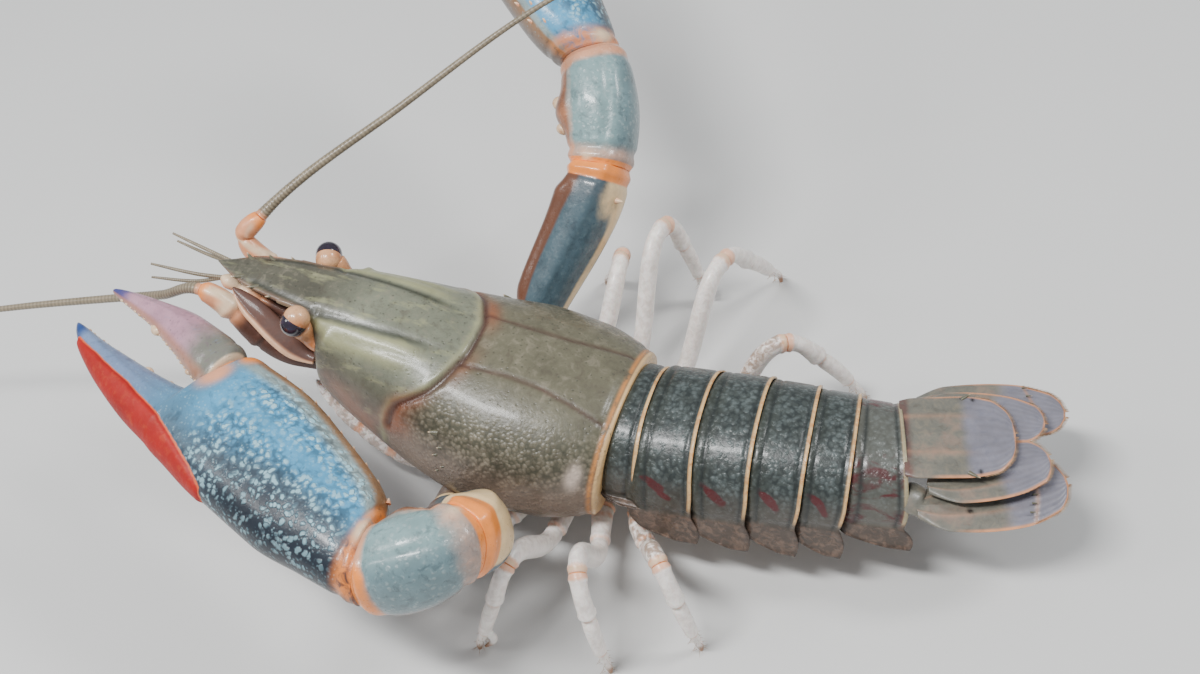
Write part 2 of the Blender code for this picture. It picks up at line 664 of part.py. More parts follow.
def eye_forms(name, side):
    """A stalk from the carapace's front face, and the eye with a flat back that meets it."""
    root = on_carapace(FRONT_FACE + GAP, side * 10.6, -3.8)
    end, centre = [on_carapace(place, side * out, height) for place, out, height in EYE_PLACES[name]]
    way = (centre - end).normalized()
    rows = ((0, 1.9, 1.9), (0.4, 1.6, 1.6), (0.8, 2.4, 2.4), (1, 2.6, 2.6))
    stalk = limb([root, end], rows, start=FORWARD, end=way, along=5, around=10)
    eye = bmesh.new()
    bmesh.ops.create_uvsphere(eye, u_segments=14, v_segments=9, radius=3.6)
    bmesh.ops.translate(eye, vec=centre, verts=eye.verts)
    cut = end + way * GAP
    everything = list(eye.verts) + list(eye.edges) + list(eye.faces)
    bmesh.ops.bisect_plane(eye, geom=everything, plane_co=cut, plane_no=way, clear_inner=True)
    bmesh.ops.holes_fill(eye, edges=[edge for edge in eye.edges if edge.is_boundary], sides=0)
    bmesh.ops.recalc_face_normals(eye, faces=eye.faces)
    return stalk, eye


def antenna_forms(name, side):
    """The jointed base, the flat scale beside it and the long whip of one antenna."""
    joints = [Vector(joint) for joint in ANTENNA_JOINTS[name]]
    joint = joints[-1]
    root = on_carapace(FRONT_FACE + GAP, side * 6.4, -13.5)
    middle = root.lerp(joints[0], 0.45) + Vector((0, side * 1.1, -4.6))
    points = [root, middle] + joints
    whip_points = [Vector(point) for point in FLAGELLA[name]]
    way = ((joint - points[-2]).normalized() + (whip_points[0] - joint).normalized()).normalized()
    points[-1] = joint - way * GAP / 2
    bend = 0.8 if len(joints) > 1 else 1.0
    rows = [(0, 3.6, 3.8), (0.2 * bend, 3.7, 3.8), (0.45 * bend, 3.0, 3.0), (0.52 * bend, 3.2, 3.2),
            (0.72 * bend, 2.6, 2.6), (0.78 * bend, 2.9, 2.9), (0.96 * bend, 2.5, 2.5)]
    if len(joints) > 1:
        rows += [(0.84, 2.0, 2.0), (0.91, 2.5, 2.5), (0.96, 2.3, 2.3)]
    rows.append((1, 1.8, 1.8))
    base = limb(points, rows, start=FORWARD, end=way, along=16, around=10)
    scale_points = [on_carapace(place, side * out, height) for place, out, height in SCALE_ROUTE]
    scale_rows = ((0, 1.4, 0.8), (0.3, 2.9, 0.7), (0.7, 2.6, 0.6), (0.92, 1.3, 0.5), (1, 0.3, 0.3))
    lie = (RISE + Vector((0, side * 0.5, 0))).normalized()
    scale = limb(scale_points, scale_rows, start=FORWARD, up=lie, along=7, around=10)
    whip_rows = ((0, 1.5, 1.5), (0.05, 1.2, 1.2), (0.4, 0.85, 0.85), (0.9, 0.4, 0.4), (1, 0.25, 0.25))
    whip = limb([joint + way * GAP / 2] + whip_points, whip_rows, start=way, along=24, around=6)
    return base, scale, whip


def antennule_forms(side):
    """The short inner feeler: a thin stalk that forks into two threads."""
    root = on_carapace(FRONT_FACE + GAP, side * 2.6, -7.6)
    knot = on_carapace(101.5, side * 2.9, -1.6)
    rows = ((0, 1.8, 1.8), (0.3, 1.9, 1.8), (0.6, 1.5, 1.5), (0.9, 1.3, 1.3), (1, 0.7, 0.7))
    forms = [limb([root, on_carapace(88, side * 3.2, -5.8), knot], rows, start=FORWARD, along=6, around=8)]
    for lift, spread in ((2.2, 2.4), (-1.6, 3.4)):
        thread = [knot - FORWARD * 1.5, on_carapace(109, side * (2.9 + 0.4 * spread), -1.9 + 0.6 * lift),
                  on_carapace(120, side * (2.9 + spread), -2.2 + lift)]
        rows = ((0, 0.5, 0.5), (0.6, 0.4, 0.4), (1, 0.25, 0.25))
        forms.append(limb(thread, rows, along=6, around=5))
    return forms


def maxilliped_form(side):
    """The leg-like mouth limb under the head."""
    root = Vector((-50, side * 7.0, 8.6))
    points = [root, Vector((-62, side * 7.6, 10)), Vector((-76, side * 6.2, 18.0)), Vector((-84, side * 4.0, 28.0))]
    rows = ((0, 2.6, 2.2), (0.3, 3.0, 2.2), (0.6, 2.2, 1.8), (0.9, 1.4, 1.2), (1, 0.5, 0.4))
    return limb(points, rows, along=8, around=8)


def build():
    """Make every part of the animal under one base, and set the base under the middle of them all."""
    clear_scene()
    group = new_collection("redclaw_crayfish")
    base = bpy.data.objects.new("redclaw_crayfish_base", None)
    group.objects.link(base)
    fused("carapace", [carapace_form(), rostrum_form()] + carapace_spines(), "shell", group, base)
    fused("sternum", sternum_forms(), "belly", group, base)
    frames = tail_frames()
    for number in range(len(PLEOMERES)):
        front, rear = frames[number], frames[number + 1]
        forms = [pleomere_form(number, front, rear)] + side_plates(number, front, rear)
        fused(f"pleomere_{number + 1}", forms, "tail", group, base)
    fan = frames[-1]
    fused("telson", telson_forms(fan), "fan", group, base)
    for side, name in SIDES:
        inner, outer = uropod_forms(fan, name, side)
        finish(f"uropod_inner_{name}", inner, "fan", group, base)
        fused(f"uropod_outer_{name}", outer, "fan", group, base)
        stalk, eye = eye_forms(name, side)
        finish(f"eyestalk_{name}", stalk, "belly", group, base)
        finish(f"eye_{name}", eye, "eye", group, base)
        antenna, scale, whip = antenna_forms(name, side)
        finish(f"antenna_base_{name}", antenna, "feeler", group, base)
        finish(f"antenna_scale_{name}", scale, "feeler", group, base)
        finish(f"antenna_flagellum_{name}", whip, "feeler", group, base)
        fused(f"antennule_{name}", antennule_forms(side), "feeler", group, base)
        finish(f"maxilliped_{name}", maxilliped_form(side), "belly", group, base)
        ischium, merus, carpus = arm_forms(name, side)
        fused(f"cheliped_ischium_{name}", ischium, "arm", group, base)
        fused(f"cheliped_merus_{name}", merus, "arm", group, base)
        fused(f"cheliped_carpus_{name}", carpus, "arm", group, base)
        palm, finger = claw_forms(name, side)
        fused(f"cheliped_propodus_{name}", palm, "claw", group, base)
        fused(f"cheliped_dactyl_{name}", finger, "claw", group, base)
        for number, _ in LEG_LEANS:
            upper, lower = leg_forms(number, name, side)
            finish(f"leg_{number}_upper_{name}", upper, "leg", group, base)
            fused(f"leg_{number}_lower_{name}", lower, "leg", group, base)
    settle(group, base)


def settle(group, base):
    """Move the base so that the origin lies under the middle of the whole animal."""
    corners = [vert.co for part in group.objects if part.type == "MESH" for vert in part.data.vertices]
    low = Vector([min(corner[axis] for corner in corners) for axis in range(3)])
    high = Vector([max(corner[axis] for corner in corners) for axis in range(3)])
    base.location = (-(low.x + high.x) / 2, -(low.y + high.y) / 2, -low.z)


build()
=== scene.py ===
"""Redclaw crayfish: fine shell plates, claws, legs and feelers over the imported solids, with their colours.

The forms are worked out in millimetres in the animal's own frame: the head points to -X, its left side
to -Y, the floor is Z = 0 and X = 0 lies under the carapace's rear edge. Each finished mesh is scaled to
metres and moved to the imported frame.
"""
import bisect
import json
import math

import bmesh
import bpy
import numpy as np
from bpy.props import FloatProperty, FloatVectorProperty, PointerProperty
from mathutils import Matrix, Quaternion, Vector

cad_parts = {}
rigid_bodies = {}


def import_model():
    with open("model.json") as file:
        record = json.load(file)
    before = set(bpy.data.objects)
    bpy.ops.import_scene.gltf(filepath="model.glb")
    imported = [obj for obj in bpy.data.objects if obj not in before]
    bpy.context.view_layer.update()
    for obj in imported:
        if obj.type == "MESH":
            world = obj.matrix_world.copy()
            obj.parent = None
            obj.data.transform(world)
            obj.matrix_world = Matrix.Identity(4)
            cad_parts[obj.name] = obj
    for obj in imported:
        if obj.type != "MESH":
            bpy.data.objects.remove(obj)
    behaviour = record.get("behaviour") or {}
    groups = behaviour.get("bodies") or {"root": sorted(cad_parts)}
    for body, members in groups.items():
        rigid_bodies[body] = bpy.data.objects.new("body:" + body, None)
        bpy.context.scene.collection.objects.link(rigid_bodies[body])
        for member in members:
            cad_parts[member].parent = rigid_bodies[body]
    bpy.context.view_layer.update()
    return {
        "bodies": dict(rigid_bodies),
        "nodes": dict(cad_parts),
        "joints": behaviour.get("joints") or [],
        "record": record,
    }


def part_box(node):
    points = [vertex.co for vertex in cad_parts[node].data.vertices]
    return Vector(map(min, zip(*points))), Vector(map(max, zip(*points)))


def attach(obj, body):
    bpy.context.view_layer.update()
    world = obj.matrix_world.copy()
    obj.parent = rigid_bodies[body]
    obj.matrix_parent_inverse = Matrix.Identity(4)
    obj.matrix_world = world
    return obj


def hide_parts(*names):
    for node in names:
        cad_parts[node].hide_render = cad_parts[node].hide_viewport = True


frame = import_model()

bl_info = {
    "name": "Redclaw crayfish",
    "version": (1, 0, 0),
    "blender": (4, 5, 0),
    "location": "3D View > Sidebar > Crayfish",
    "description": "Builds a life-size redclaw crayfish with its shell, claws, legs, feelers and tail fan",
    "category": "Object",
}

MM = 0.001
GAP = 0.3
PLATE_WALL = 0.5
BRISTLE_RADIUS = 0.07
SIDES = ((-1, "L"), (1, "R"))
UP = Vector((0, 0, 1))

# The same driving sizes as the solids have, in millimetres.
REAR_HEIGHT = 41.0
CARAPACE_PITCH = math.radians(10.5)
FRONT_FACE = 74.0
ROSTRUM_TIP = 104.5
ROSTRUM_LIFT = 1.9
UNDER_ARCH = 3.8
# Rows: distance forward of the rear edge, half width, top and lower margin above the rear edge,
# where the section is widest, and how square its upper and lower halves are.
CARAPACE_ROWS = (
    (0, 20.8, 0.0, -26.5, 0.6, 2.1, 3.1),
    (4, 22.8, 0.9, -27.3, 0.6, 2.1, 3.1),
    (14, 25.8, 2.1, -29.2, 0.6, 2.1, 3.1),
    (26, 26.4, 2.9, -30.4, 0.6, 2.1, 3.1),
    (36, 25.0, 2.7, -31.0, 0.6, 2.1, 3.1),
    (46, 22.4, 3.7, -30.0, 0.6, 2.1, 3.1),
    (58, 18.8, 4.9, -26.5, 0.6, 2.15, 3.0),
    (68, 15.6, 5.1, -23.0, 0.6, 2.2, 2.8),
    (72.5, 13.9, 4.8, -20.8, 0.6, 2.3, 2.6),
    (74.2, 11.8, 4.7, -16.5, 0.6, 2.4, 2.5),
    (75.2, 9.0, 4.6, -5.5, 0.55, 2.5, 2.4),
    (77.0, 7.5, 4.4, 0.6, 0.5, 2.6, 2.4),
    (86, 6.3, 4.2, 0.6, 0.5, 2.6, 2.4),
    (95, 4.3, 3.3, 0.5, 0.5, 2.6, 2.4),
    (100, 2.3, 2.7, 0.7, 0.5, 2.4, 2.2),
    (103, 0.9, 2.3, 1.4, 0.5, 2.2, 2.0),
    (104.5, 0.0, 1.9, 1.9, 0.5, 2.0, 2.0),
)
# The neck groove and the two long grooves behind it: distance forward and turn from the top in degrees.
NECK_GROOVE = ((0, 37.0), (10, 37.3), (19, 38.6), (31, 40.6), (42, 43.2), (54, 47.2), (62, 49.8), (72, 51.0),
               (82, 51.6))
GILL_GROOVE = ((2.5, 27), (6, 23.5), (13, 18.5), (20, 16), (27, 15.5), (33, 16.5), (38.4, 18))
HEAD_LINE = ((44, 6.4), (52, 6.6), (62, 7.0), (72, 7.0), (84, 5.6), (93, 3.8))
CHEEK_LINE = ((46, 12.2), (54, 12.2), (62, 11.8), (70, 11.2))

# Abdomen, front to rear: length, half width, arch depth, yaw towards the right and pitch in degrees.
PLEOMERES = (
    (4.6, 17.4, 17.0, 2.0, -6.0),
    (12.6, 18.8, 18.0, 4.0, -0.5),
    (13.0, 18.8, 18.0, 5.0, -1.0),
    (11.8, 18.2, 17.4, 7.0, -7.0),
    (9.6, 17.2, 16.6, 9.0, -9.0),
    (10.2, 15.6, 15.0, 10.5, -9.0),
)
PLEURON_DROP = 8.2
# How square the sections are, where 2 is round: of the rings across and up, and of the claws.
RING_SQUARE_ACROSS = 2.3
RING_SQUARE_UP = 2.2
CLAW_SQUARE = 2.1
TELSON_LENGTH = 25.0
TELSON_YAW = 26.5
TELSON_PITCH = 0.5
UROPOD_LENGTH = 33.0
# Each outer leaf's root behind the telson's root, and how far out its tip lies.
UROPOD_PLACES = {"L": (2.6, 8.4), "R": (4.6, 10.6)}

# Limb joints of each side as (x, distance out from the midline, height).
CHELIPED_JOINTS = {
    "L": ((-41, 14.5, 12.4), (-38, 28.5, 18.5), (-17, 52.8, 48), (-35.2, 63, 45.5)),
    "R": ((-41, 14.5, 12.4), (-41, 29.5, 19.8), (-30.2, 62.9, 48), (-38.1, 85, 64)),
}
CLAW_DIRECTION = {"L": (-0.915, 0.385, 0.115), "R": (-0.66, 0.68, 0.32)}
CLAW_ROLL = {"L": 0, "R": -46}
LEG_JOINTS = {
    "2L": ((-25, 13.5, 12), (-36, 45, 14.5), (-57, 38, 0)),
    "3L": ((-15, 14, 12), (-15.5, 42.5, 26), (-25, 50, 0)),
    "4L": ((-6, 14, 12), (2.6, 43.4, 30), (7, 48, 0)),
    "5L": ((3, 13.5, 12), (18.5, 35.4, 28), (25, 37, 0)),
    "2R": ((-25, 13.5, 12), (-22.5, 50, 30), (-38, 67, 0)),
    "3R": ((-15, 14, 12), (-12.6, 57.5, 36), (-9, 67, 0)),
    "4R": ((-6, 14, 12), (5, 51, 34), (8, 78, 0)),
    "5R": ((3, 13.5, 12), (25.7, 33, 28), (41, 42.5, 0)),
}
# How far the root of each leg, and of the claw's limb, leans to the rear on its way out.
LEG_LEANS = ((2, 0.05), (3, 0.1), (4, 0.3), (5, 0.2))
CLAW_LEAN = -0.2
# Each eye stalk's end and each eye's centre: distance forward of the carapace's rear, out and up.
EYE_PLACES = {"L": ((77.0, 11.0, 1.0), (78.0, 11.4, 3.6)), "R": ((78.7, 11.0, -0.2), (80.7, 11.1, 1.4))}
# The directions that the dark corneas face.
EYE_LOOKS = {"L": (-0.45, -0.65, -0.6), "R": (-0.35, 0.9, 0.15)}
# Each antenna's last joints: the right one is bent back, and its whip starts at the last joint.
ANTENNA_JOINTS = {"L": ((-103.1, -8.2, 60.0),), "R": ((-101, 9.8, 59.6), (-97.4, 14.2, 64.2))}
# The flat scale over each antenna's base, as the eyes are placed.
SCALE_ROUTE = ((FRONT_FACE + GAP, 11.6, -8.4), (82, 10.6, -5.8), (91, 7.8, -2.1), (98, 5.2, 0.3))
FLAGELLA = {
    "L": ((-116, -8.2, 55.5), (-130, -8, 51.2), (-161, -13, 46), (-195, -20, 40), (-228, -28, 34)),
    "R": ((-69, 45, 78), (-40.5, 74, 90), (-5, 104, 97)),
}
# Rows of the palm and fixed finger: place along, inner edge, outer edge, half thickness.
PALM_ROWS = (
    (0, 9.0, -7.4, 7.0),
    (4, 12.4, -8.6, 8.2),
    (12, 15.6, -10.4, 9.2),
    (25, 18.6, -12.6, 9.8),
    (45, 21.6, -12.4, 9.4),
    (57, 21.0, -11.4, 8.6),
    (61, 19.4, -11.1, 8.2),
    (62.2, 15.5, -10.9, 7.8),
    (62.9, 8.5, -10.8, 7.2),
    (64, 5.4, -10.6, 6.7),
    (72, 3.2, -10.0, 5.8),
    (84, 1.6, -8.0, 4.6),
    (95, 0.6, -5.0, 3.2),
    (101, 0.5, -2.4, 2.0),
    (103.3, 0.3, -0.7, 0.9),
    (104, 0.0, 0.0, 0.0),
)
# Rows of the movable finger, in the same order.
DACTYL_ROWS = (
    (62.9, 17.4, 8.4, 4.4),
    (63.8, 19.0, 7.0, 6.0),
    (67, 20.8, 7.2, 6.2),
    (80, 20.4, 9.6, 4.7),
    (93, 17.2, 11.2, 2.9),
    (101, 14.4, 11.2, 1.9),
    (105, 12.7, 11.4, 0.9),
    (106, 12.0, 12.0, 0.0),
)

FORWARD = Vector((-math.cos(CARAPACE_PITCH), 0, math.sin(CARAPACE_PITCH)))
RISE = Vector((math.sin(CARAPACE_PITCH), 0, math.cos(CARAPACE_PITCH)))
REAR = Vector((0, 0, REAR_HEIGHT))

# The view: bearing round the animal, height above the horizon and roll, and the point that it is set on.
VIEW_BEARING = math.radians(31)
VIEW_HEIGHT = math.radians(46)
VIEW_ROLL = math.radians(13.5)
VIEW_DISTANCE = 421.5
VIEW_POINT = Vector((-36, 0, 51))
VIEW_POINT_PIXEL = (477, 336)
PICTURE_SIZE = (1200, 674)
LENS = 55.0
SENSOR = 36.0
# The studio: half the floor's side in metres, and the even light's colour.
FLOOR_HALF = 3
ROOM_COLOUR = (0.92, 0.96, 1.0, 1)


def colour_property(name, description, default):
    """A linear colour that a user can change."""
    return FloatVectorProperty(name=name, description=description, default=default, subtype="COLOR",
                               min=0, max=1)


class CrayfishShell(bpy.types.PropertyGroup):
    """Colours of the carapace and the abdomen, and the depth of the shell's grooves."""

    back: colour_property("Back", "Olive grey of the carapace behind the neck groove", (0.112, 0.104, 0.068))
    head: colour_property("Head", "Grey-green of the head", (0.160, 0.170, 0.122))
    flank: colour_property("Flank", "Brown of the gill covers", (0.072, 0.056, 0.042))
    under: colour_property("Lower side", "Pale taupe low on the gill covers", (0.240, 0.165, 0.120))
    # The pale patch is a painted highlight beside the rear edge, not wear.
    pale: colour_property("Pale patch", "Worn pale patch beside the rear edge", (0.620, 0.500, 0.420))
    speckle: colour_property("Speckle", "Pale speckles on the gill covers", (0.235, 0.205, 0.150))
    ridge: colour_property("Ridge", "Pale yellow green of the head's ridges", (0.330, 0.330, 0.175))
    beak: colour_property("Beak", "Grey tan of the beak", (0.058, 0.052, 0.039))
    brim: colour_property("Brim", "Pink tan of the beak's edges", (0.270, 0.155, 0.105))
    rust: colour_property("Rust", "Rust red beside the grooves", (0.215, 0.070, 0.030))
    # The groove colour is also painted as shade on the beak's underside and the front face below it.
    groove: colour_property("Groove", "Dark red brown in the grooves", (0.050, 0.016, 0.012))
    rim: colour_property("Rim", "Orange line along the rear edge", (0.460, 0.190, 0.055))
    line: colour_property("Line", "Dark lines along the head", (0.022, 0.025, 0.015))
    blush: colour_property("Blush", "Red brown along the lower edge", (0.190, 0.085, 0.050))
    tail: colour_property("Tail", "Dark olive grey of the abdomen", (0.037, 0.045, 0.042))
    fleck: colour_property("Fleck", "Grey flecks on the abdomen", (0.106, 0.130, 0.130))
    band: colour_property("Band", "Cream band at each ring's rear edge", (0.620, 0.400, 0.185))
    crimson: colour_property("Crimson", "Crimson patches low on the rings", (0.072, 0.006, 0.009))
    plate: colour_property("Side plate", "Taupe of the hanging side plates", (0.064, 0.045, 0.034))
    fan: colour_property("Fan", "Olive brown of the tail fan", (0.138, 0.134, 0.112))
    fan_tip: colour_property("Fan tip", "Lavender grey of the fan's outer halves", (0.190, 0.185, 0.230))
    fan_rim: colour_property("Fan rim", "Orange pink rim of the fan", (0.560, 0.250, 0.120))
    groove_depth: FloatProperty(name="Groove depth", description="Depth of the neck groove", default=0.0008,
                                min=0, max=0.002, unit="LENGTH")
    speckle_size: FloatProperty(name="Speckle size", description="Distance between the gill covers' speckles",
                                default=0.0010, min=0.0005, max=0.01, unit="LENGTH")


class CrayfishLimbs(bpy.types.PropertyGroup):
    """Colours of the claws, arms, legs and feelers, and the size of the claws' raised spots."""

    sky: colour_property("Sky blue", "Upper face of the palm", (0.078, 0.300, 0.500))
    # The spot colour is partly painted highlight on the raised bumps.
    spot: colour_property("Spot", "Raised spots on the palm", (0.330, 0.560, 0.640))
    steel: colour_property("Steel", "Grey blue towards the palm's outer side", (0.055, 0.095, 0.130))
    navy: colour_property("Navy", "Outer part of the palm", (0.012, 0.018, 0.028))
    margin: colour_property("Margin", "Grey green beside the palm's inner margin", (0.330, 0.370, 0.320))
    tan: colour_property("Tan", "Inner margin of the palm", (0.300, 0.160, 0.075))
    finger: colour_property("Finger", "Periwinkle of the fixed finger", (0.165, 0.225, 0.370))
    tip: colour_property("Tip", "Deep blue of the fingertips", (0.015, 0.050, 0.190))
    patch: colour_property("Patch", "Soft red patch on the claw's outer edge", (0.340, 0.004, 0.001))
    patch_rim: colour_property("Patch rim", "Orange rim of the red patch", (0.640, 0.120, 0.035))
    mauve: colour_property("Mauve", "Movable finger", (0.430, 0.235, 0.300))
    cream: colour_property("Cream", "Joints and teeth", (0.760, 0.560, 0.370))
    orange: colour_property("Orange", "Rings at the joints", (0.840, 0.250, 0.040))
    wrist: colour_property("Wrist", "Teal grey of the wrist", (0.205, 0.315, 0.320))
    elbow: colour_property("Elbow", "Yellow cream beside the elbow and along the arm's rear edge",
                           (0.780, 0.560, 0.290))
    arm: colour_property("Arm", "Blue grey of the upper arm", (0.060, 0.100, 0.122))
    leg: colour_property("Leg", "Pinkish white of the walking legs", (0.930, 0.870, 0.820))
    leg_joint: colour_property("Leg joint", "Orange of the legs' joints", (0.780, 0.330, 0.140))
    feeler: colour_property("Feeler", "Khaki of the long feelers", (0.270, 0.220, 0.150))
    salmon: colour_property("Salmon", "Soft edges of the joints", (0.700, 0.300, 0.150))
    rust: colour_property("Rust", "Rust brown of the arms' inner sides", (0.130, 0.050, 0.026))
    eye: colour_property("Eye", "Purple black of the eyes", (0.010, 0.005, 0.016))
    belly: colour_property("Belly", "Pale underside", (0.460, 0.330, 0.240))
    # Dark red-brown below the beak: partly the shell's own colour, partly painted shade.
    maroon: colour_property("Maroon", "Shaded shell below the beak", (0.048, 0.014, 0.010))
    spot_size: FloatProperty(name="Spot size", description="Distance between the palm's raised spots",
                             default=0.0016, min=0.001, max=0.01, unit="LENGTH")


class CrayfishStudio(bpy.types.PropertyGroup):
    """The floor and the soft light."""

    floor: colour_property("Floor", "Pale floor", (0.640, 0.640, 0.630))
    key: FloatProperty(name="Key light", description="Power of the long soft light", default=10,
                       min=0, unit="POWER")
    fill: FloatProperty(name="Fill light", description="Power of the second light", default=5,
                        min=0, unit="POWER")
    sky: FloatProperty(name="Room light", description="Strength of the even light", default=0.5, min=0)


def shell_colours():
    """The shell's settings."""
    return bpy.context.scene.crayfish_shell


def limb_colours():
    """The limbs' settings."""
    return bpy.context.scene.crayfish_limbs


# Forms.


def smooth(rows):
    """Return a function that reads rows of (place, value, ...) along monotone cubic curves."""
    places = [row[0] for row in rows]
    spans = [b - a for a, b in zip(places, places[1:])]
    columns = []
    for column in range(1, len(rows[0])):
        values = [row[column] for row in rows]
        steps = [(b - a) / span for a, b, span in zip(values, values[1:], spans)]
        inner = [0.0 if a * b <= 0 else 2 * a * b / (a + b) for a, b in zip(steps, steps[1:])]
        columns.append((values, [steps[0], *inner, steps[-1]]))

    def read(place):
        place = min(max(place, places[0]), places[-1])
        k = min(bisect.bisect_right(places, place), len(spans)) - 1
        u = (place - places[k]) / spans[k]
        result = []
        for values, slopes in columns:
            ends = (1 + 2 * u) * (1 - u) ** 2 * values[k] + u * u * (3 - 2 * u) * values[k + 1]
            turns = u * (1 - u) ** 2 * slopes[k] - u * u * (1 - u) * slopes[k + 1]
            result.append(ends + turns * spans[k])
        return result

    return read


def power(value, exponent):
    """Raise the size of a signed value to a power and keep its sign."""
    return math.copysign(abs(value) ** exponent, value)


def ramp(values, low, high):
    """Rise smoothly from 0 at low to 1 at high."""
    share = np.clip((values - low) / (high - low), 0, 1)
    return share * share * (3 - 2 * share)


def hump(values, middle, width):
    """A smooth hump of height 1."""
    return np.exp(-((values - middle) / width) ** 2)


def fade(values, low, high):
    """Fall smoothly from 1 at low to 0 at high."""
    return 1 - ramp(values, low, high)


def crowd(share):
    """Crowd even steps towards both ends."""
    return share - 0.8 * np.sin(math.tau * share) / math.tau


def dome(t, first, last):
    """Round off both ends: 0 at the ends and 1 from first and last inwards."""
    size = 1.0
    if first and t < first:
        size *= math.sqrt(max(0, 1 - (1 - t / first) ** 2))
    if last and t > 1 - last:
        size *= math.sqrt(max(0, 1 - (1 - (1 - t) / last) ** 2))
    return size


def curve_through(points, start=None, end=None):
    """Return a function of t for a smooth curve through points, with its end directions if given."""
    points = [Vector(point) for point in points]
    gaps = [(b - a).length for a, b in zip(points, points[1:])]
    shares = [sum(gaps[:k]) / sum(gaps) for k in range(len(points))]
    tangents = []
    for k in range(len(points)):
        before = points[max(k - 1, 0)]
        after = points[min(k + 1, len(points) - 1)]
        tangents.append((after - before).normalized())
    if start:
        tangents[0] = Vector(start).normalized()
    if end:
        tangents[-1] = Vector(end).normalized()

    def place(t):
        k = min(max(bisect.bisect_right(shares, t), 1), len(gaps)) - 1
        u = (t - shares[k]) / (shares[k + 1] - shares[k])
        leaving = points[k] * (1 + 2 * u) * (1 - u) ** 2 + tangents[k] * gaps[k] * u * (1 - u) ** 2
        arriving = points[k + 1] * u * u * (3 - 2 * u) - tangents[k + 1] * gaps[k] * u * u * (1 - u)
        return leaving + arriving

    return place


def skin(along, around, place, marks=None, closed=True):
    """A fine skin from a grid. place(t, turn) gives each point, and marks(t, turn, points) its named values.

    The value named relief lifts the skin along its normal, in millimetres.
    """
    form = bmesh.new()
    bmesh.ops.create_grid(form, x_segments=along, y_segments=around, size=0.5)
    spots = np.array([(vert.co.x + 0.5, vert.co.y + 0.5) for vert in form.verts]).round(6)
    spots[:, 1] *= math.tau
    for vert, (t, turn) in zip(form.verts, spots):
        vert.co = place(t, turn)
    if marks:
        points = np.array([vert.co for vert in form.verts])
        for name, column in marks(spots[:, 0], spots[:, 1], points).items():
            layer = form.verts.layers.float.new(name)
            for vert, value in zip(form.verts, column):
                vert[layer] = value
    bmesh.ops.remove_doubles(form, verts=form.verts, dist=0.0005)
    if closed:
        bmesh.ops.holes_fill(form, edges=[edge for edge in form.edges if edge.is_boundary], sides=0)
    bmesh.ops.recalc_face_normals(form, faces=form.faces)
    relief = form.verts.layers.float.get("relief")
    if relief:
        form.normal_update()
        moves = [vert.normal * vert[relief] for vert in form.verts]
        for vert, move in zip(form.verts, moves):
            vert.co += move
        form.verts.layers.float.remove(relief)
    return form


def limb(points, rows, start=None, end=None, up=UP, along=60, around=40, square=2.0, first=0.0, last=0.0,
         marks=None):
    """A swept skin. rows give (t, half width, half depth), first and last the shares that are rounded off.

    marks(t, turn) gives its named values, with t along the curve.
    """
    curve = curve_through(points, start, end)
    size = smooth(rows)

    def place(s, turn):
        t = crowd(s)
        ahead = curve(min(t + 0.002, 1)) - curve(max(t - 0.002, 0))
        if t == 0 and start:
            ahead = Vector(start)
        if t == 1 and end:
            ahead = Vector(end)
        ahead.normalize()
        side = ahead.cross(up).normalized()
        top = side.cross(ahead)
        half_width, half_depth = size(t)
        round_off = dome(t, first, last)
        across = half_width * round_off * power(math.sin(turn), 2 / square)
        deep = half_depth * round_off * power(math.cos(turn), 2 / square)
        return curve(t) + side * across + top * deep

    return skin(along, around, place, marks and (lambda s, turn, points: marks(crowd(s), turn)))


def spikes(places, around=10):
    """Pointed teeth in one mesh, from (root, tip, radius)."""
    form = bmesh.new()
    tip_mark = form.verts.layers.float.new("tip")
    profile = ((0, 1.0), (0.35, 0.74), (0.7, 0.4), (0.92, 0.16), (1, 0.0))
    for root, tip, radius in places:
        way = tip - root
        turn = way.to_track_quat("Z", "Y").to_matrix().to_4x4()
        made = bmesh.ops.create_circle(form, cap_ends=False, segments=around, radius=radius)["verts"]
        for vert in made:
            vert.co = root + turn @ vert.co
        ring = [edge for edge in form.edges if edge.verts[0] in made and edge.verts[1] in made]
        for high, width in profile[1:]:
            grown = bmesh.ops.extrude_edge_only(form, edges=ring)["geom"]
            verts = [item for item in grown if isinstance(item, bmesh.types.BMVert)]
            ring = [item for item in grown if isinstance(item, bmesh.types.BMEdge)
                    and item.verts[0] in verts and item.verts[1] in verts]
            axis = root + way * high
            before = sum((vert.co for vert in verts), Vector()) / len(verts)
            scale = max(width * radius, 0.0001) / max((verts[0].co - before).length, 0.0001)
            for vert in verts:
                vert.co = axis + (vert.co - before) * scale
                vert[tip_mark] = high
    bmesh.ops.remove_doubles(form, verts=form.verts, dist=0.001)
    bmesh.ops.recalc_face_normals(form, faces=form.faces)
    return form


def knobs(places, segments=14):
    """Rounded teeth or beads in one mesh, from (centre, radii, forward direction)."""
    form = bmesh.new()
    for centre, radii, way in places:
        turn = Vector(way).to_track_quat("X", "Z").to_matrix().to_4x4()
        matrix = Matrix.Translation(centre) @ turn @ Matrix.Diagonal((*radii, 1))
        bmesh.ops.create_uvsphere(form, u_segments=segments, v_segments=segments // 2 + 1, radius=1,
                                  matrix=matrix)
    bmesh.ops.recalc_face_normals(form, faces=form.faces)
    return form


def on_carapace(distance, across, height):
    """A point in the carapace's own frame: distance forward, across to the right, height above its rear."""
    return REAR + FORWARD * distance + Vector((0, across, 0)) + RISE * height


def packed_place():
    """The move from the animal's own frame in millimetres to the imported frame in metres."""
    low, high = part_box("carapace")
    tip = on_carapace(ROSTRUM_TIP, 0, ROSTRUM_LIFT) * MM
    return Matrix.Translation((low[0] - tip.x, (low[1] + high[1]) / 2, 0)) @ Matrix.Scale(MM, 4)


PLACE = packed_place()
CARAPACE_SECTION = smooth(CARAPACE_ROWS)


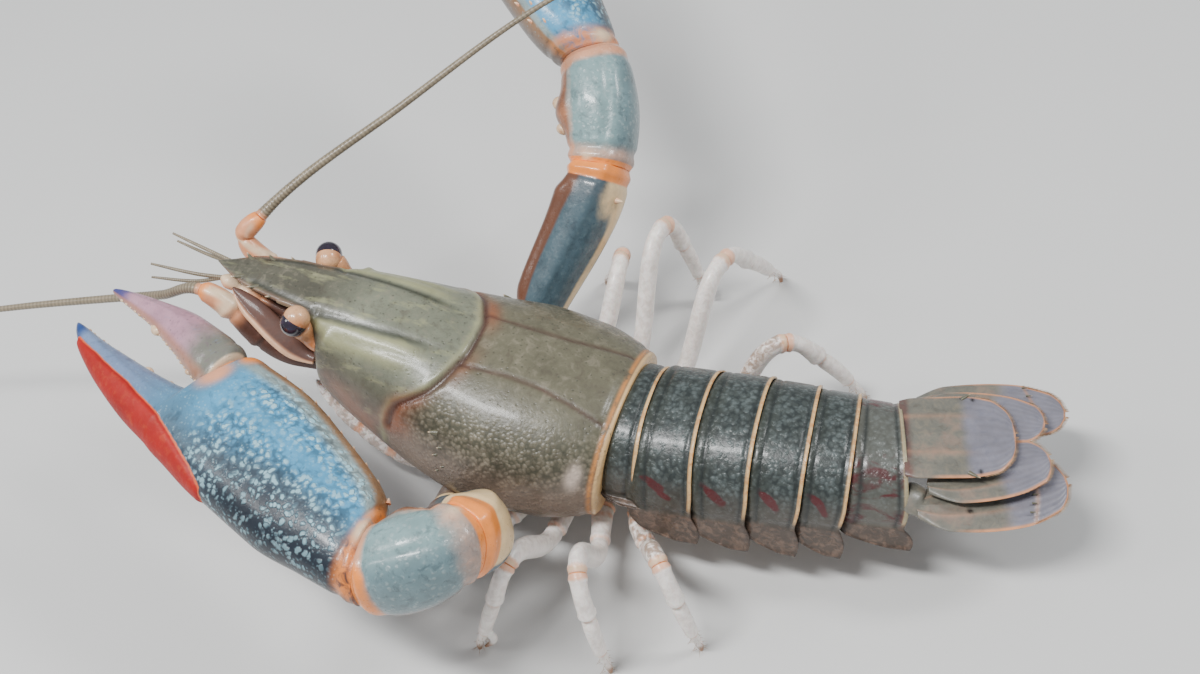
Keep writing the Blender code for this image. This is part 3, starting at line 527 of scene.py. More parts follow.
def add_piece(name, form, maker, nodes=(), thickness=0):
    """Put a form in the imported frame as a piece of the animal, with its finish and in place of its solids."""
    bmesh.ops.transform(form, matrix=PLACE, verts=form.verts)
    mesh = bpy.data.meshes.new(name)
    form.to_mesh(mesh)
    form.free()
    mesh.shade_smooth()
    mesh.materials.append(finish_of(maker))
    piece = bpy.data.objects.new(name, mesh)
    bpy.context.scene.collection.objects.link(piece)
    if thickness:
        wall = piece.modifiers.new("wall", "SOLIDIFY")
        wall.thickness = thickness * MM
        wall.offset = -1
    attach(piece, "root")
    if nodes:
        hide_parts(*nodes)


# Finishes.

# Colours that one finish alone uses, in linear red, green and blue.
RING_GAP = (0.008, 0.012, 0.013)
RING_FOLD = (0.010, 0.014, 0.014)
LAST_BAND = (0.22, 0.22, 0.15)
PLATE_EDGE = (0.04, 0.024, 0.017)
PLATE_BLOTCH = (0.20, 0.125, 0.088)
FAN_BLOTCH = (0.22, 0.19, 0.14)
FAN_BLUSH = (0.22, 0.135, 0.10)
FAN_SHADE = (0.11, 0.12, 0.17)
FAN_RAY = (0.09, 0.08, 0.09)
FAN_SEAM = (0.40, 0.21, 0.13)
FAN_DOT = (0.010, 0.008, 0.008)
PALM_UNDERSIDE = (0.16, 0.17, 0.18)
FINGER_ROOT = (0.17, 0.17, 0.14)
FINGER_TIP = (0.05, 0.05, 0.20)
FINGER_SHADE = (0.16, 0.10, 0.13)
FINGER_BITE = (0.46, 0.20, 0.11)
FINGER_PIT = (0.10, 0.07, 0.08)
ARM_SPOT = (0.36, 0.44, 0.44)
LEG_WASH = (0.28, 0.17, 0.11)
LEG_BLOTCH = (0.52, 0.44, 0.38)
LEG_TOE = (0.34, 0.17, 0.09)
WHIP_RING = (0.05, 0.04, 0.03)
TOOTH_STAIN = (0.50, 0.24, 0.10)
EYE_SHEEN = (0.04, 0.015, 0.05)
STALK_CREAM = (0.74, 0.42, 0.22)
STALK_ORANGE = (0.50, 0.15, 0.04)
STALK_GRAIN = (0.36, 0.17, 0.09)
HAIR_ROOT = (0.30, 0.16, 0.08)
HAIR_TIP = (0.50, 0.34, 0.20)


class Wire:
    """A value in a finish that can be reckoned with: each operation adds one Math node."""

    def __init__(self, finish, socket):
        self.finish = finish
        self.socket = socket

    def __add__(self, other):
        return self.finish.reckon("ADD", self, other)

    def __sub__(self, other):
        return self.finish.reckon("SUBTRACT", self, other)

    def __rsub__(self, other):
        return self.finish.reckon("SUBTRACT", other, self)

    def __mul__(self, other):
        return self.finish.reckon("MULTIPLY", self, other)

    __radd__ = __add__
    __rmul__ = __mul__

    def rise(self, low, high):
        """Go smoothly from 0 at low to 1 at high."""
        settings = {"interpolation_type": "SMOOTHSTEP"}
        return self.finish.node("MapRange", settings, {"Value": self, "From Min": low, "From Max": high})


class Finish:
    """A procedural finish: one glossy material, and a method that adds any node to it."""

    def __init__(self, name, roughness=0.3, coat=0.15, coat_roughness=0.12, **constants):
        self.material = bpy.data.materials.new(name)
        self.material.use_nodes = True
        self.tree = self.material.node_tree
        self.shader = self.tree.nodes["Principled BSDF"]
        self.shader.inputs["Roughness"].default_value = roughness
        self.shader.inputs["Coat Weight"].default_value = coat
        self.shader.inputs["Coat Roughness"].default_value = coat_roughness
        self.shader.inputs["Specular IOR Level"].default_value = 0.45
        for socket, value in constants.items():
            self.shader.inputs[socket.replace("_", " ")].default_value = value

    def node(self, kind, settings=(), inputs=(), output=0):
        """Add a node, set its settings first and then feed its sockets."""
        made = self.tree.nodes.new("ShaderNode" + kind)
        for setting, value in dict(settings).items():
            setattr(made, setting, value)
        for socket, value in dict(inputs).items():
            self.feed(made.inputs[socket], value)
        return Wire(self, made.outputs[output])

    def feed(self, socket, value):
        """Give a socket a link, a number or a colour."""
        if isinstance(value, Wire):
            self.tree.links.new(value.socket, socket)
        elif socket.type == "RGBA":
            socket.default_value = (*value[:3], 1)
        else:
            socket.default_value = value

    def reckon(self, operation, first, second):
        """One Math node on two values."""
        return self.node("Math", {"operation": operation}, {0: first, 1: second})

    def mark(self, name):
        """A value that is kept on the mesh, or 0 where the mesh has none of that name."""
        return self.node("Attribute", {"attribute_name": name}, output="Fac")

    def place(self, stretch=(1, 1, 1)):
        """The point on the piece, with the pattern squeezed along its axes."""
        spot = self.node("TexCoord", output="Object")
        if stretch == (1, 1, 1):
            return spot
        return self.node("Mapping", inputs={"Vector": spot, "Scale": stretch})

    def noise(self, size, detail=3.0, rough=0.55, stretch=(1, 1, 1), warp=0.0):
        """Soft noise from 0 to 1, with patches of a size in millimetres."""
        inputs = {"Vector": self.place(stretch), "Scale": 1 / (size * MM), "Detail": detail,
                  "Roughness": rough, "Distortion": warp}
        return self.node("TexNoise", inputs=inputs)

    def noises(self, wide, middling, fine):
        """Wide, warped middling and fine noise, each from its size, detail and roughness."""
        return self.noise(*wide), self.noise(*middling, warp=0.6), self.noise(*fine)

    def cells(self, size, random=1.0, warp=0.0):
        """Distance from the nearest of many scattered points, in parts of their spacing in millimetres."""
        place = self.place()
        if warp:
            inputs = {"Vector": place, "Scale": 0.5 / (size * MM)}
            drift = self.node("TexNoise", inputs=inputs, output="Color")
            push = self.tone(drift, warp * size * MM)
            place = self.node("VectorMath", {"operation": "ADD"}, {0: place, 1: push})
        inputs = {"Vector": place, "Scale": 1 / (size * MM), "Randomness": random}
        return self.node("TexVoronoi", inputs=inputs, output="Distance")

    def paint(self, base, *layers):
        """Lay colours over a base, each through its mask from 0 to 1."""
        for mask, colour in layers:
            base = self.node("Mix", {"data_type": "RGBA"}, {0: mask, 6: base, 7: colour}, 2)
        return base

    def tone(self, colour, value):
        """Multiply a colour by a value."""
        return self.node("VectorMath", {"operation": "SCALE"}, {0: colour, "Scale": value})

    def finish(self, colour, roughness=None, height=None, bump=1.0, coat=None):
        """Feed the shader: colour, roughness and a bump height in millimetres."""
        self.feed(self.shader.inputs["Base Color"], colour)
        if roughness is not None:
            self.feed(self.shader.inputs["Roughness"], roughness)
        if coat is not None:
            self.feed(self.shader.inputs["Coat Weight"], coat)
        if height is not None:
            inputs = {"Height": height, "Strength": bump, "Distance": MM}
            self.feed(self.shader.inputs["Normal"], self.node("Bump", inputs=inputs, output="Normal"))
        return self.material


def finish_of(maker):
    """The finish that a function makes, made once and then shared."""
    return bpy.data.materials.get(maker.__name__) or maker(maker.__name__)


def carapace_finish(name):
    """Wet olive shell: grey-green lined head, speckled gill covers, rust grooves, an orange rim, a painted
    highlight beside the rear edge and painted shade under the beak.
    """
    look = shell_colours()
    shell = Finish(name)
    low, head = shell.mark("low"), shell.mark("head")
    cloud, mottle, grain = shell.noises((11, 5, 0.62), (2.6, 4, 0.65), (0.9, 4, 0.65))
    streaks = shell.noise(2.4, 4, 0.6, (0.3, 1, 1))
    cells = shell.cells(look.speckle_size / MM, warp=1.0)
    speck = 1 - cells.rise(0.15, 0.6)
    lower = low.rise(0.1, 0.4)
    flank = low.rise(0.03, 0.2) * (1 - head)
    pits = (1 - shell.cells(1.5).rise(0.1, 0.24)) * (1 - 0.5 * flank)
    tone = shell.paint(
        look.back,
        (lower * (1 - head) * 0.9, look.flank),
        (head, look.head),
        (lower * head * 0.85, look.flank),
        (shell.mark("beak") * 0.8, look.beak),
        (mottle.rise(0.5, 0.72) * 0.45, look.speckle),
        (mottle.rise(0.5, 0.28) * 0.5, look.flank),
        (speck * mottle.rise(0.34, 0.6) * (0.2 + 0.8 * flank) * (1 - 0.7 * head) * 0.5, look.speckle),
        (cells.rise(0.45, 0.8) * flank * 0.55, look.line),
        (grain.rise(0.55, 0.75) * 0.3, look.line),
        (streaks.rise(0.52, 0.72) * head * 0.45, look.ridge),
        (pits * 0.45, look.line),
        ((low + 0.2 * (mottle - 0.5)).rise(0.27, 0.5) * (1 - head) * 0.65, look.under),
        (low.rise(0.68, 0.95) * 0.8, look.blush),
        (shell.mark("cheek") * cloud.rise(0.25, 0.6) * 0.9, look.blush),
        (shell.mark("ridge") * 0.75, look.ridge),
        (shell.mark("line") * 0.85, look.line),
        (shell.mark("brim") * 0.7, look.brim),
        (shell.mark("lip") * 0.5, look.ridge),
        (shell.mark("rust") * (0.35 + 0.9 * mottle), look.rust),
        (shell.mark("gill") * (0.3 + 0.8 * mottle), look.groove),
        (shell.mark("neck") * 0.9, look.groove),
        # Painted shade: the groove colour over the beak's underside and the front face below it.
        (shell.mark("under"), look.groove),
        (shell.mark("rim") * (0.5 + mottle).rise(0.7, 0.95), look.band),
        (shell.mark("rim_line") * (0.35 + mottle).rise(0.6, 0.9), look.rim),
        # Painted highlight: the pale patch beside the rear edge.
        ((shell.mark("pale") * (0.5 + mottle)).rise(0.1, 1.1) * 0.7, look.pale))
    height = 0.3 * cloud + 0.05 * grain + 0.08 * mottle + 0.10 * speck * flank + 0.04 * streaks - 0.05 * pits
    return shell.finish(shell.tone(tone, 0.45 + 1.1 * cloud), 0.22 + 0.3 * grain, height, 0.8)


def tail_finish(name):
    """Dark teal rings with grey flecks, a cream rear band, crimson patches and taupe side plates."""
    look = shell_colours()
    shell = Finish(name)
    plate, low, band = shell.mark("plate"), shell.mark("low"), shell.mark("band")
    crimson = shell.mark("crimson")
    cloud, mottle, grain = shell.noises((6, 5, 0.62), (1.8, 4, 0.65), (0.7, 4, 0.65))
    blots = shell.noise(3.0, 4, 0.6, (0.45, 1, 1), 0.8)
    cells = shell.cells(1.1, warp=1.0)
    fleck = (1 - cells.rise(0.2, 0.55)) * mottle.rise(0.36, 0.6)
    blotch = mottle.rise(0.42, 0.66)
    tone = shell.paint(
        look.tail,
        (blotch * 0.45, look.fleck),
        (fleck * 0.5, look.fleck),
        (cells.rise(0.5, 0.8) * 0.6, RING_GAP),
        (low.rise(0.42, 0.66) * 0.6, look.flank),
        (shell.mark("fore") * 0.45, look.line),
        (shell.mark("last") * 0.4, look.fan),
        ((crimson + 1.3 * (blots - 0.5)).rise(0.34, 0.62) * crimson.rise(0.05, 0.3) * 0.9, look.crimson),
        (plate, look.plate),
        (plate * shell.mark("edge") * 0.6, PLATE_EDGE),
        (plate * blotch * 0.6, PLATE_BLOTCH),
        (shell.mark("fold") * 0.75, RING_FOLD),
        (band, look.band),
        (band * mottle.rise(0.44, 0.62) * 0.7, look.rim),
        (band * shell.mark("last") * 0.8, LAST_BAND))
    height = 0.2 * cloud + 0.05 * grain + 0.1 * fleck + 0.06 * mottle
    return shell.finish(shell.tone(tone, 0.5 + cloud), 0.2 + 0.28 * grain, height, 0.8)


def fan_finish(name):
    """Thin olive brown leaves with lavender outer halves, fine rays and an orange pink rim."""
    look = shell_colours()
    leaf = Finish(name)
    cloud = leaf.noise(6, 5, 0.62)
    mottle = leaf.noise(2.2, 4, 0.65, warp=0.8)
    grain = leaf.noise(0.8, 3, 0.6)
    tip, rays = leaf.mark("tip"), leaf.mark("rays")
    far = (tip + 0.35 * (cloud - 0.5)).rise(0.2, 0.75)
    tone = leaf.paint(
        look.fan,
        (mottle.rise(0.45, 0.66) * 0.5, FAN_BLOTCH),
        (mottle.rise(0.45, 0.3) * 0.4, look.flank),
        (cloud.rise(0.48, 0.66) * (1 - far) * 0.45, FAN_BLUSH),
        (far * 0.85, look.fan_tip),
        (far * mottle.rise(0.5, 0.3) * 0.3, FAN_SHADE),
        (rays * tip * 0.2, FAN_RAY),
        (leaf.mark("root") * mottle.rise(0.25, 0.5), look.crimson),
        (leaf.mark("seam") * 0.7, FAN_SEAM),
        (leaf.mark("edge") * (0.4 + cloud), look.fan_rim),
        (leaf.mark("dot"), FAN_DOT))
    height = 0.2 * cloud + 0.04 * grain + 0.06 * mottle + 0.05 * rays * tip
    return leaf.finish(leaf.tone(tone, 0.55 + 0.9 * cloud), 0.22 + 0.28 * grain, height, 0.8)


def palm_finish(name):
    """Blue palm and finger: crowded bumps whose pale tops are partly painted highlight, navy outer side, tan
    inner margin and the soft red patch.
    """
    look = limb_colours()
    claw = Finish(name)
    cloud, mottle, grain = claw.noises((9, 5, 0.6), (2.4, 4, 0.65), (0.9, 4, 0.62))
    outer, far, inner, spotted = [claw.mark(mark) for mark in ("outer", "far", "inner", "spotted")]
    cells = claw.cells(look.spot_size / MM, warp=1.6)
    # spots and fine: pale dots on the raised bumps, partly painted highlights.
    spots = (1 - cells.rise(0.28, 0.5)) * claw.noise(5, 2, 0.5).rise(0.36, 0.5) * spotted
    fine = (1 - claw.cells(0.8).rise(0.15, 0.5)) * mottle.rise(0.45, 0.65)
    drift = outer + 0.4 * (cloud - 0.5)
    red = claw.mark("red") + 0.16 * (mottle - 0.5)
    edge = red.rise(0.34, 0.46)
    tone = claw.paint(
        look.sky,
        (drift.rise(0.1, 0.5), look.steel),
        (drift.rise(0.42, 0.85), look.navy),
        (inner.rise(0.0, 0.5) * 0.8, look.margin),
        (inner.rise(0.74, 1.0), look.tan),
        (claw.mark("below") * 0.7, PALM_UNDERSIDE),
        (far.rise(0.0, 0.12) * 0.5, look.steel),
        (far.rise(0.12, 0.5) * 0.9, look.finger),
        (cells.rise(0.5, 0.75) * spotted * 0.55, look.navy),
        (mottle.rise(0.48, 0.28) * 0.4, look.navy),
        # Partly painted highlights: the pale dots on the raised bumps.
        (spots * (1 - 0.6 * outer), look.spot),
        (fine * 0.35 * (1 - far), look.spot),
        (far.rise(0.84, 0.93), look.tip),
        (claw.mark("socket").rise(0.1, 0.9) * 0.9, look.salmon),
        (claw.mark("knob"), look.orange),
        (claw.mark("wrist") * (0.5 + mottle).rise(0.75, 1.05), look.orange),
        (claw.mark("condyle"), look.cream),
        (edge, look.patch_rim),
        (red.rise(0.46, 0.58), look.patch),
        (red.rise(0.6, 0.8) * mottle.rise(0.5, 0.7) * 0.2, look.patch_rim))
    height = 0.25 * cloud + 0.05 * grain + (0.26 * spots + 0.08 * fine) * (1 - edge) + 0.16 * edge * mottle
    return claw.finish(claw.tone(tone, 0.55 + 0.9 * cloud), 0.2 + 0.28 * grain + 0.22 * edge, height, 0.9,
                       coat=0.15 * (1 - edge))


def dactyl_finish(name):
    """Movable finger: grey-green root, mauve pink middle and a violet-blue tip."""
    look = limb_colours()
    claw = Finish(name)
    cloud, mottle, grain = claw.noises((6, 5, 0.6), (2.0, 4, 0.65), (0.8, 4, 0.62))
    drift = claw.mark("far") + 0.2 * (cloud - 0.5)
    pits = (1 - claw.cells(1.3).rise(0.08, 0.3)) * mottle.rise(0.45, 0.6)
    tone = claw.paint(
        FINGER_ROOT,
        (drift.rise(0.14, 0.42), look.mauve),
        (drift.rise(0.84, 0.95), FINGER_TIP),
        (mottle.rise(0.5, 0.3) * 0.4, FINGER_SHADE),
        (mottle.rise(0.55, 0.75) * 0.3, look.finger),
        (claw.mark("bite") * 0.75, FINGER_BITE),
        (pits * 0.55, FINGER_PIT),
        (claw.mark("hinge"), look.cream))
    height = 0.25 * cloud + 0.05 * grain + 0.06 * mottle - 0.08 * pits
    return claw.finish(claw.tone(tone, 0.6 + 0.8 * cloud), 0.2 + 0.28 * grain, height, 0.9)


def arm_finish(name):
    """Glossy wrist and arm: teal grey back, orange rings and edges, rust brown and cream sides."""
    look = limb_colours()
    arm = Finish(name, coat=0.3, coat_roughness=0.09)
    cloud, mottle, grain = arm.noises((7, 5, 0.6), (2.2, 4, 0.65), (0.9, 4, 0.6))
    blob = (1 - arm.cells(1.3, warp=1.2).rise(0.2, 0.5)) * mottle.rise(0.4, 0.6)
    fray = 0.4 * (cloud - 0.5) + 0.2 * (mottle - 0.5)
    wrist = arm.mark("wrist")
    tone = arm.paint(
        look.arm,
        (wrist, look.wrist),
        (arm.mark("deep") * 0.5, look.steel),
        (mottle.rise(0.5, 0.3) * 0.4, look.navy),
        (blob * (0.08 + 0.32 * wrist), ARM_SPOT),
        ((arm.mark("brown") + fray).rise(0.2, 0.7), look.rust),
        ((arm.mark("cream") + fray).rise(0.3, 0.8), look.elbow),
        ((arm.mark("salmon") + fray).rise(0.15, 0.7) * 0.85, look.salmon),
        ((arm.mark("orange") + fray).rise(0.25, 0.7), look.orange),
        (arm.mark("condyle"), look.cream))
    height = 0.25 * cloud + 0.05 * grain + 0.10 * blob * wrist + 0.06 * mottle
    return arm.finish(arm.tone(tone, 0.55 + 0.9 * cloud), 0.18 + 0.26 * grain, height, 0.8)


def leg_finish(name):
    """Pinkish white legs with orange joints and a brown wash on their upper sides."""
    look = limb_colours()
    leg = Finish(name, Subsurface_Weight=0.1, Subsurface_Scale=0.002)
    cloud, mottle, grain = leg.noises((5, 5, 0.6), (1.5, 4, 0.6), (0.6, 3, 0.6))
    joint = (leg.mark("joint") + 0.5 * (mottle - 0.5)).rise(0.25, 0.95)
    tone = leg.paint(
        look.leg,
        (leg.mark("wash") * mottle.rise(0.34, 0.62), LEG_WASH),
        (mottle.rise(0.52, 0.72) * 0.2, LEG_BLOTCH),
        (joint * 0.7, look.leg_joint),
        (leg.mark("knuckle"), look.cream),
        (leg.mark("toe"), LEG_TOE))
    height = 0.1 * cloud + 0.02 * grain + 0.03 * mottle
    return leg.finish(leg.tone(tone, 0.8 + 0.4 * cloud), 0.22 + 0.25 * grain, height, 0.7)


def feeler_finish(name):
    """Feelers: dark red-brown and salmon bases with cream knots, the dark red-brown partly painted shade, and
    ringed khaki whips.
    """
    look = limb_colours()
    feeler = Finish(name)
    cloud = feeler.noise(4, 3, 0.6)
    grain = feeler.noise(0.9, 3, 0.6)
    ring, dark, whip = [feeler.mark(mark) for mark in ("ring", "dark", "whip")]
    tone = feeler.paint(
        look.salmon,
        (feeler.mark("knot"), look.cream),
        (feeler.mark("orange") * 0.8, look.orange),
        # Partly painted shade: the dark mark's red-brown on the face, mouth and feeler roots under the beak.
        (dark * 0.95, look.maroon),
        (dark * grain.rise(0.5, 0.75) * 0.4, look.rust),
        (whip, look.feeler),
        (whip * ring * 0.5, WHIP_RING))
    roughness = 0.24 + 0.25 * cloud + 0.25 * dark
    return feeler.finish(feeler.tone(tone, 0.6 + 0.8 * cloud), roughness, 0.05 * grain + 0.1 * cloud, 0.8)


def horn(name, root, low, high, strength):
    """A horny finish that goes from the root's colour to cream between two shares of the way to the tip."""
    points = Finish(name)
    mask = points.mark("tip").rise(low, high) * strength
    tone = points.paint(root, (mask, limb_colours().cream))
    return points.finish(tone, 0.2 + 0.3 * points.noise(1.0), 0.05 * points.noise(0.8), 0.6)


def tooth_finish(name):
    """Horny teeth and spines: roots as the shell beside them and pale tips."""
    return horn(name, shell_colours().back, 0.65, 1.0, 0.8)


def point_finish(name):
    """Blunt points of the claws and wrists: salmon roots and cream tips."""
    return horn(name, limb_colours().salmon, 0.2, 0.9, 1.0)


def enamel_finish(name):
    """Cream molar teeth of the fingers."""
    enamel = Finish(name)
    cloud = enamel.noise(1.4, 3)
    tone = enamel.paint(limb_colours().cream, (cloud.rise(0.42, 0.68) * 0.7, TOOTH_STAIN))
    return enamel.finish(tone, 0.2 + 0.3 * cloud, 0.06 * cloud, 0.7)


def membrane_finish(name):
    """Soft wrinkled skin between the plates at the joints."""
    look = limb_colours()
    soft = Finish(name, Subsurface_Weight=0.15, Subsurface_Scale=0.002)
    folds = soft.noise(0.8, 4, 0.65, (1, 1, 2.2))
    tone = soft.paint(look.orange, (folds.rise(0.42, 0.7) * 0.6, look.cream))
    return soft.finish(tone, 0.34 + 0.2 * folds, 0.25 * folds, 0.8)


def belly_finish(name):
    """Pale leathery underside with brown blotches."""
    look = limb_colours()
    soft = Finish(name, Subsurface_Weight=0.1, Subsurface_Scale=0.002)
    cloud = soft.noise(5, 4, 0.6)
    grain = soft.noise(1.0, 4, 0.65)
    tone = soft.paint(
        look.belly,
        (cloud.rise(0.46, 0.7) * 0.6, look.rust),
        (grain.rise(0.55, 0.75) * 0.4, look.salmon))
    return soft.finish(tone, 0.34 + 0.25 * grain, 0.12 * grain, 0.8)


def eye_finish(name):
    """Purple black cornea with fine facets under a clear coat."""
    eye = Finish(name, coat=1.0, coat_roughness=0.03)
    facets = eye.cells(0.16, random=0.15)
    tone = eye.paint(limb_colours().eye, (eye.noise(1.8, 2).rise(0.45, 0.8) * 0.5, EYE_SHEEN))
    return eye.finish(tone, 0.1 + 0.1 * facets, 0.02 * facets, 0.5)


def stalk_finish(name):
    """Cream eye stalks with orange ends."""
    stalk = Finish(name, coat=0.5, coat_roughness=0.06)
    cloud = stalk.noise(2.5, 3)
    grain = stalk.noise(0.5, 3)
    tone = stalk.paint(
        STALK_CREAM,
        (stalk.mark("orange") * (0.5 + 0.6 * cloud), STALK_ORANGE),
        (grain.rise(0.52, 0.7) * 0.35, STALK_GRAIN))
    height = 0.2 * cloud + 0.03 * grain
    return stalk.finish(stalk.tone(tone, 0.65 + 0.6 * cloud), 0.2 + 0.2 * cloud, height, 0.8)


def hair_finish(name):
    """Fine amber bristles."""
    hair = Finish(name, 0.4)
    shade = hair.noise(2.0, 2)
    tone = hair.paint(HAIR_ROOT, (shade.rise(0.4, 0.7), HAIR_TIP))
    return hair.finish(tone, 0.35 + 0.15 * shade)


# Carapace.


def carapace_point(distance, turn):
    """A point of the carapace's skin, with turn from the top towards the right."""
    half, top, margin, widest, upper, lower = CARAPACE_SECTION(distance)
    middle = top - widest * (top - margin)
    if math.cos(turn) > 0:
        across = half * power(math.sin(turn), 2 / upper)
        height = middle + (top - middle) * power(math.cos(turn), 2 / upper)
    else:
        across = half * power(math.sin(turn), 2 / lower)
        height = middle + (middle - margin) * power(math.cos(turn), 2 / lower)
        if distance < FRONT_FACE:
            height += UNDER_ARCH * max(0, 1 - (across / (0.8 * half)) ** 2) * -math.cos(turn)
    return on_carapace(distance, across, height)


def turn_at(distance, across):
    """The turn at which the carapace's upper side is a distance out from its midline."""
    half, _, _, _, upper, _ = CARAPACE_SECTION(distance)
    return math.asin(min(0.97, (across / half) ** (upper / 2)))


def near(points, line):
    """The distance of each point from the nearest spot of a line."""
    gap = np.full(len(points), np.inf)
    for spot in line:
        gap = np.minimum(gap, ((points - np.array(spot)) ** 2).sum(axis=1))
    return np.sqrt(gap)


def along_rows(rows, count=80):
    """Even steps along rows of (place, value), as pairs."""
    read = smooth(rows)
    places = np.linspace(rows[0][0], rows[-1][0], count)
    return [(place, read(place)[0]) for place in places]


def carapace_skin():
    """The whole carapace with its beak in one skin, grooved and rimmed."""
    steps = smooth(((0, 0), (0.1, 6), (0.6, 66), (0.68, 73), (0.77, 78), (1, ROSTRUM_TIP)))
    necks, gills, stripes, cheeks = [], [], [], []
    for side, _ in SIDES:
        necks += [carapace_point(place, side * math.radians(turn)) for turn, place in along_rows(NECK_GROOVE)]
        gills += [carapace_point(place, side * math.radians(turn)) for place, turn in along_rows(GILL_GROOVE)]
        stripes += [carapace_point(place, side * turn_at(place, out))
                    for place, out in along_rows(HEAD_LINE, 120)]
        cheeks += [carapace_point(place, side * turn_at(place, out)) for place, out in along_rows(CHEEK_LINE)]

    def marks(t, turn, points):
        """The colour fields and the relief, from how far each point lies from the grooves and the lines."""
        distance = np.array([steps(place)[0] for place in t])
        degrees = np.degrees(np.where(turn > math.pi, turn - math.tau, turn))
        off = np.abs(degrees)
        low = (1 - np.cos(turn)) / 2
        upper = low < 0.62
        neck_gap, gill_gap = near(points, necks), near(points, gills)
        stripe_gap, cheek_gap = near(points, stripes), near(points, cheeks)
        across = np.abs(points[:, 1])
        behind = np.interp(off, *zip(*NECK_GROOVE)) - distance
        neck = hump(neck_gap, 0, 0.75) * upper
        gill = hump(gill_gap, 0, 0.6) * (behind > 0)
        stripe = hump(stripe_gap, 0, 0.8) * upper * ramp(distance, 43, 52) * fade(distance, 92, 97)
        lip = hump(behind, -1.5, 0.8) * upper
        ridge = ramp(stripe_gap, 0.7, 1.8) * fade(stripe_gap, 3.0, 5.0) * (across > 6.4) * upper
        ridge *= ramp(distance, 44, 54)
        cheek = hump(cheek_gap, 0, 1.8) * upper * ramp(distance, 46, 54)
        rim = fade(distance, 0.6, 0.95)
        rim_line = hump(distance, 1.4, 0.5)
        margin = hump(off, 118, 6) * (distance < 70)
        brim = ramp(distance, 74, 79) * hump(off, 84, 17)
        depth = shell_colours().groove_depth / MM
        relief = -depth * neck - 0.3 * gill - 0.3 * hump(stripe_gap, 0, 1.3) * upper + 0.2 * lip + 0.3 * ridge
        relief += 0.7 * hump(distance, 70.6, 1.5) * hump(cheek_gap, 0, 1.7) * upper
        relief += 0.35 * cheek + 0.15 * rim - 0.25 * hump(distance, 2.4, 0.8) + 0.3 * margin + 0.35 * brim
        relief *= ramp(distance, 0.0, 0.6) * fade(distance, 98, 103)
        rust = hump(behind, 1.6, 2.1) * hump(off, 22, 14) * (0.6 + 0.4 * (degrees > 0))
        rust += hump(neck_gap, 0, 2.2) * ramp(off, 36, 54) * upper
        rust += 0.75 * hump(behind, 2.5, 3.2) * hump(off, 74, 11)
        return {
            "low": low, "neck": neck, "gill": gill, "line": stripe, "lip": lip, "rim": rim, "brim": brim,
            "rim_line": rim_line, "rust": np.clip(rust, 0, 1), "ridge": np.clip(ridge + cheek, 0, 1),
            "head": ramp(-behind, -0.6, 0.6), "beak": ramp(distance, 62, 80) * (low < 0.5),
            # under: painted shade on the beak's underside and the front face below it.
            "under": ramp(distance, 73.0, 74.5) * (low > 0.56), "relief": relief,
            "cheek": ramp(low, 0.3, 0.52) * ramp(distance, 46, 58) * fade(distance, 71, 74),
            # pale: where the painted highlight beside the rear edge lies.
            "pale": hump(distance, 5.2, 2.3) * hump(off, 66, 13),
        }

    return skin(250, 240, lambda t, turn: carapace_point(steps(t)[0], turn), marks)


def carapace_teeth():
    """The beak's teeth and the small spines behind the neck groove."""
    places = []
    for side, _ in SIDES:
        for distance, half in ((86, 6.3), (91.5, 5.2), (96.5, 3.7)):
            root = on_carapace(distance - 0.6, side * (half - 1.4), 2.2)
            places.append((root, on_carapace(distance + 2.4, side * (half + 0.5), 2.9), 0.85))
        for turn, place, size in ((62, 38.5, 1.1), (70, 36.5, 0.7), (77, 37.5, 0.7), (84, 35.5, 0.6),
                                  (90, 37.0, 0.6)):
            root = carapace_point(place, side * math.radians(turn))
            out = Vector((0, side * math.sin(math.radians(turn)), math.cos(math.radians(turn))))
            places.append((root - out * 0.5, root + FORWARD * 1.7 * size + out * 0.5 * size, 0.8 * size))
    return spikes(places, 12)


# Abdomen.


def tail_frames():
    """The frames of the joints along the abdomen: their X runs to the rear, Y to the right and Z up."""
    origin = REAR.copy()
    frames = [Matrix.Translation(origin) @ Matrix.Rotation(CARAPACE_PITCH, 4, "Y")]
    for k, (length, _, _, turn, slope) in enumerate(PLEOMERES):
        heading = Matrix.Rotation(math.radians(turn), 4, "Z") @ Matrix.Rotation(-math.radians(slope), 4, "Y")
        origin = origin + heading @ Vector((length, 0, 0))
        next_turn, next_slope = PLEOMERES[k + 1][3:] if k + 1 < len(PLEOMERES) else (TELSON_YAW, TELSON_PITCH)
        yaw = math.radians(turn + next_turn) / 2
        pitch = math.radians(slope + next_slope) / 2
        turned = Matrix.Translation(origin) @ Matrix.Rotation(yaw, 4, "Z")
        frames.append(turned @ Matrix.Rotation(-pitch, 4, "Y"))
    return frames


def ring_point(front, rear, length, place, across, height):
    """A point of an abdomen ring: place is the distance behind its front joint."""
    share = place / length
    return (front @ Vector((0, across, height))).lerp(rear @ Vector((0, across, height)), share)


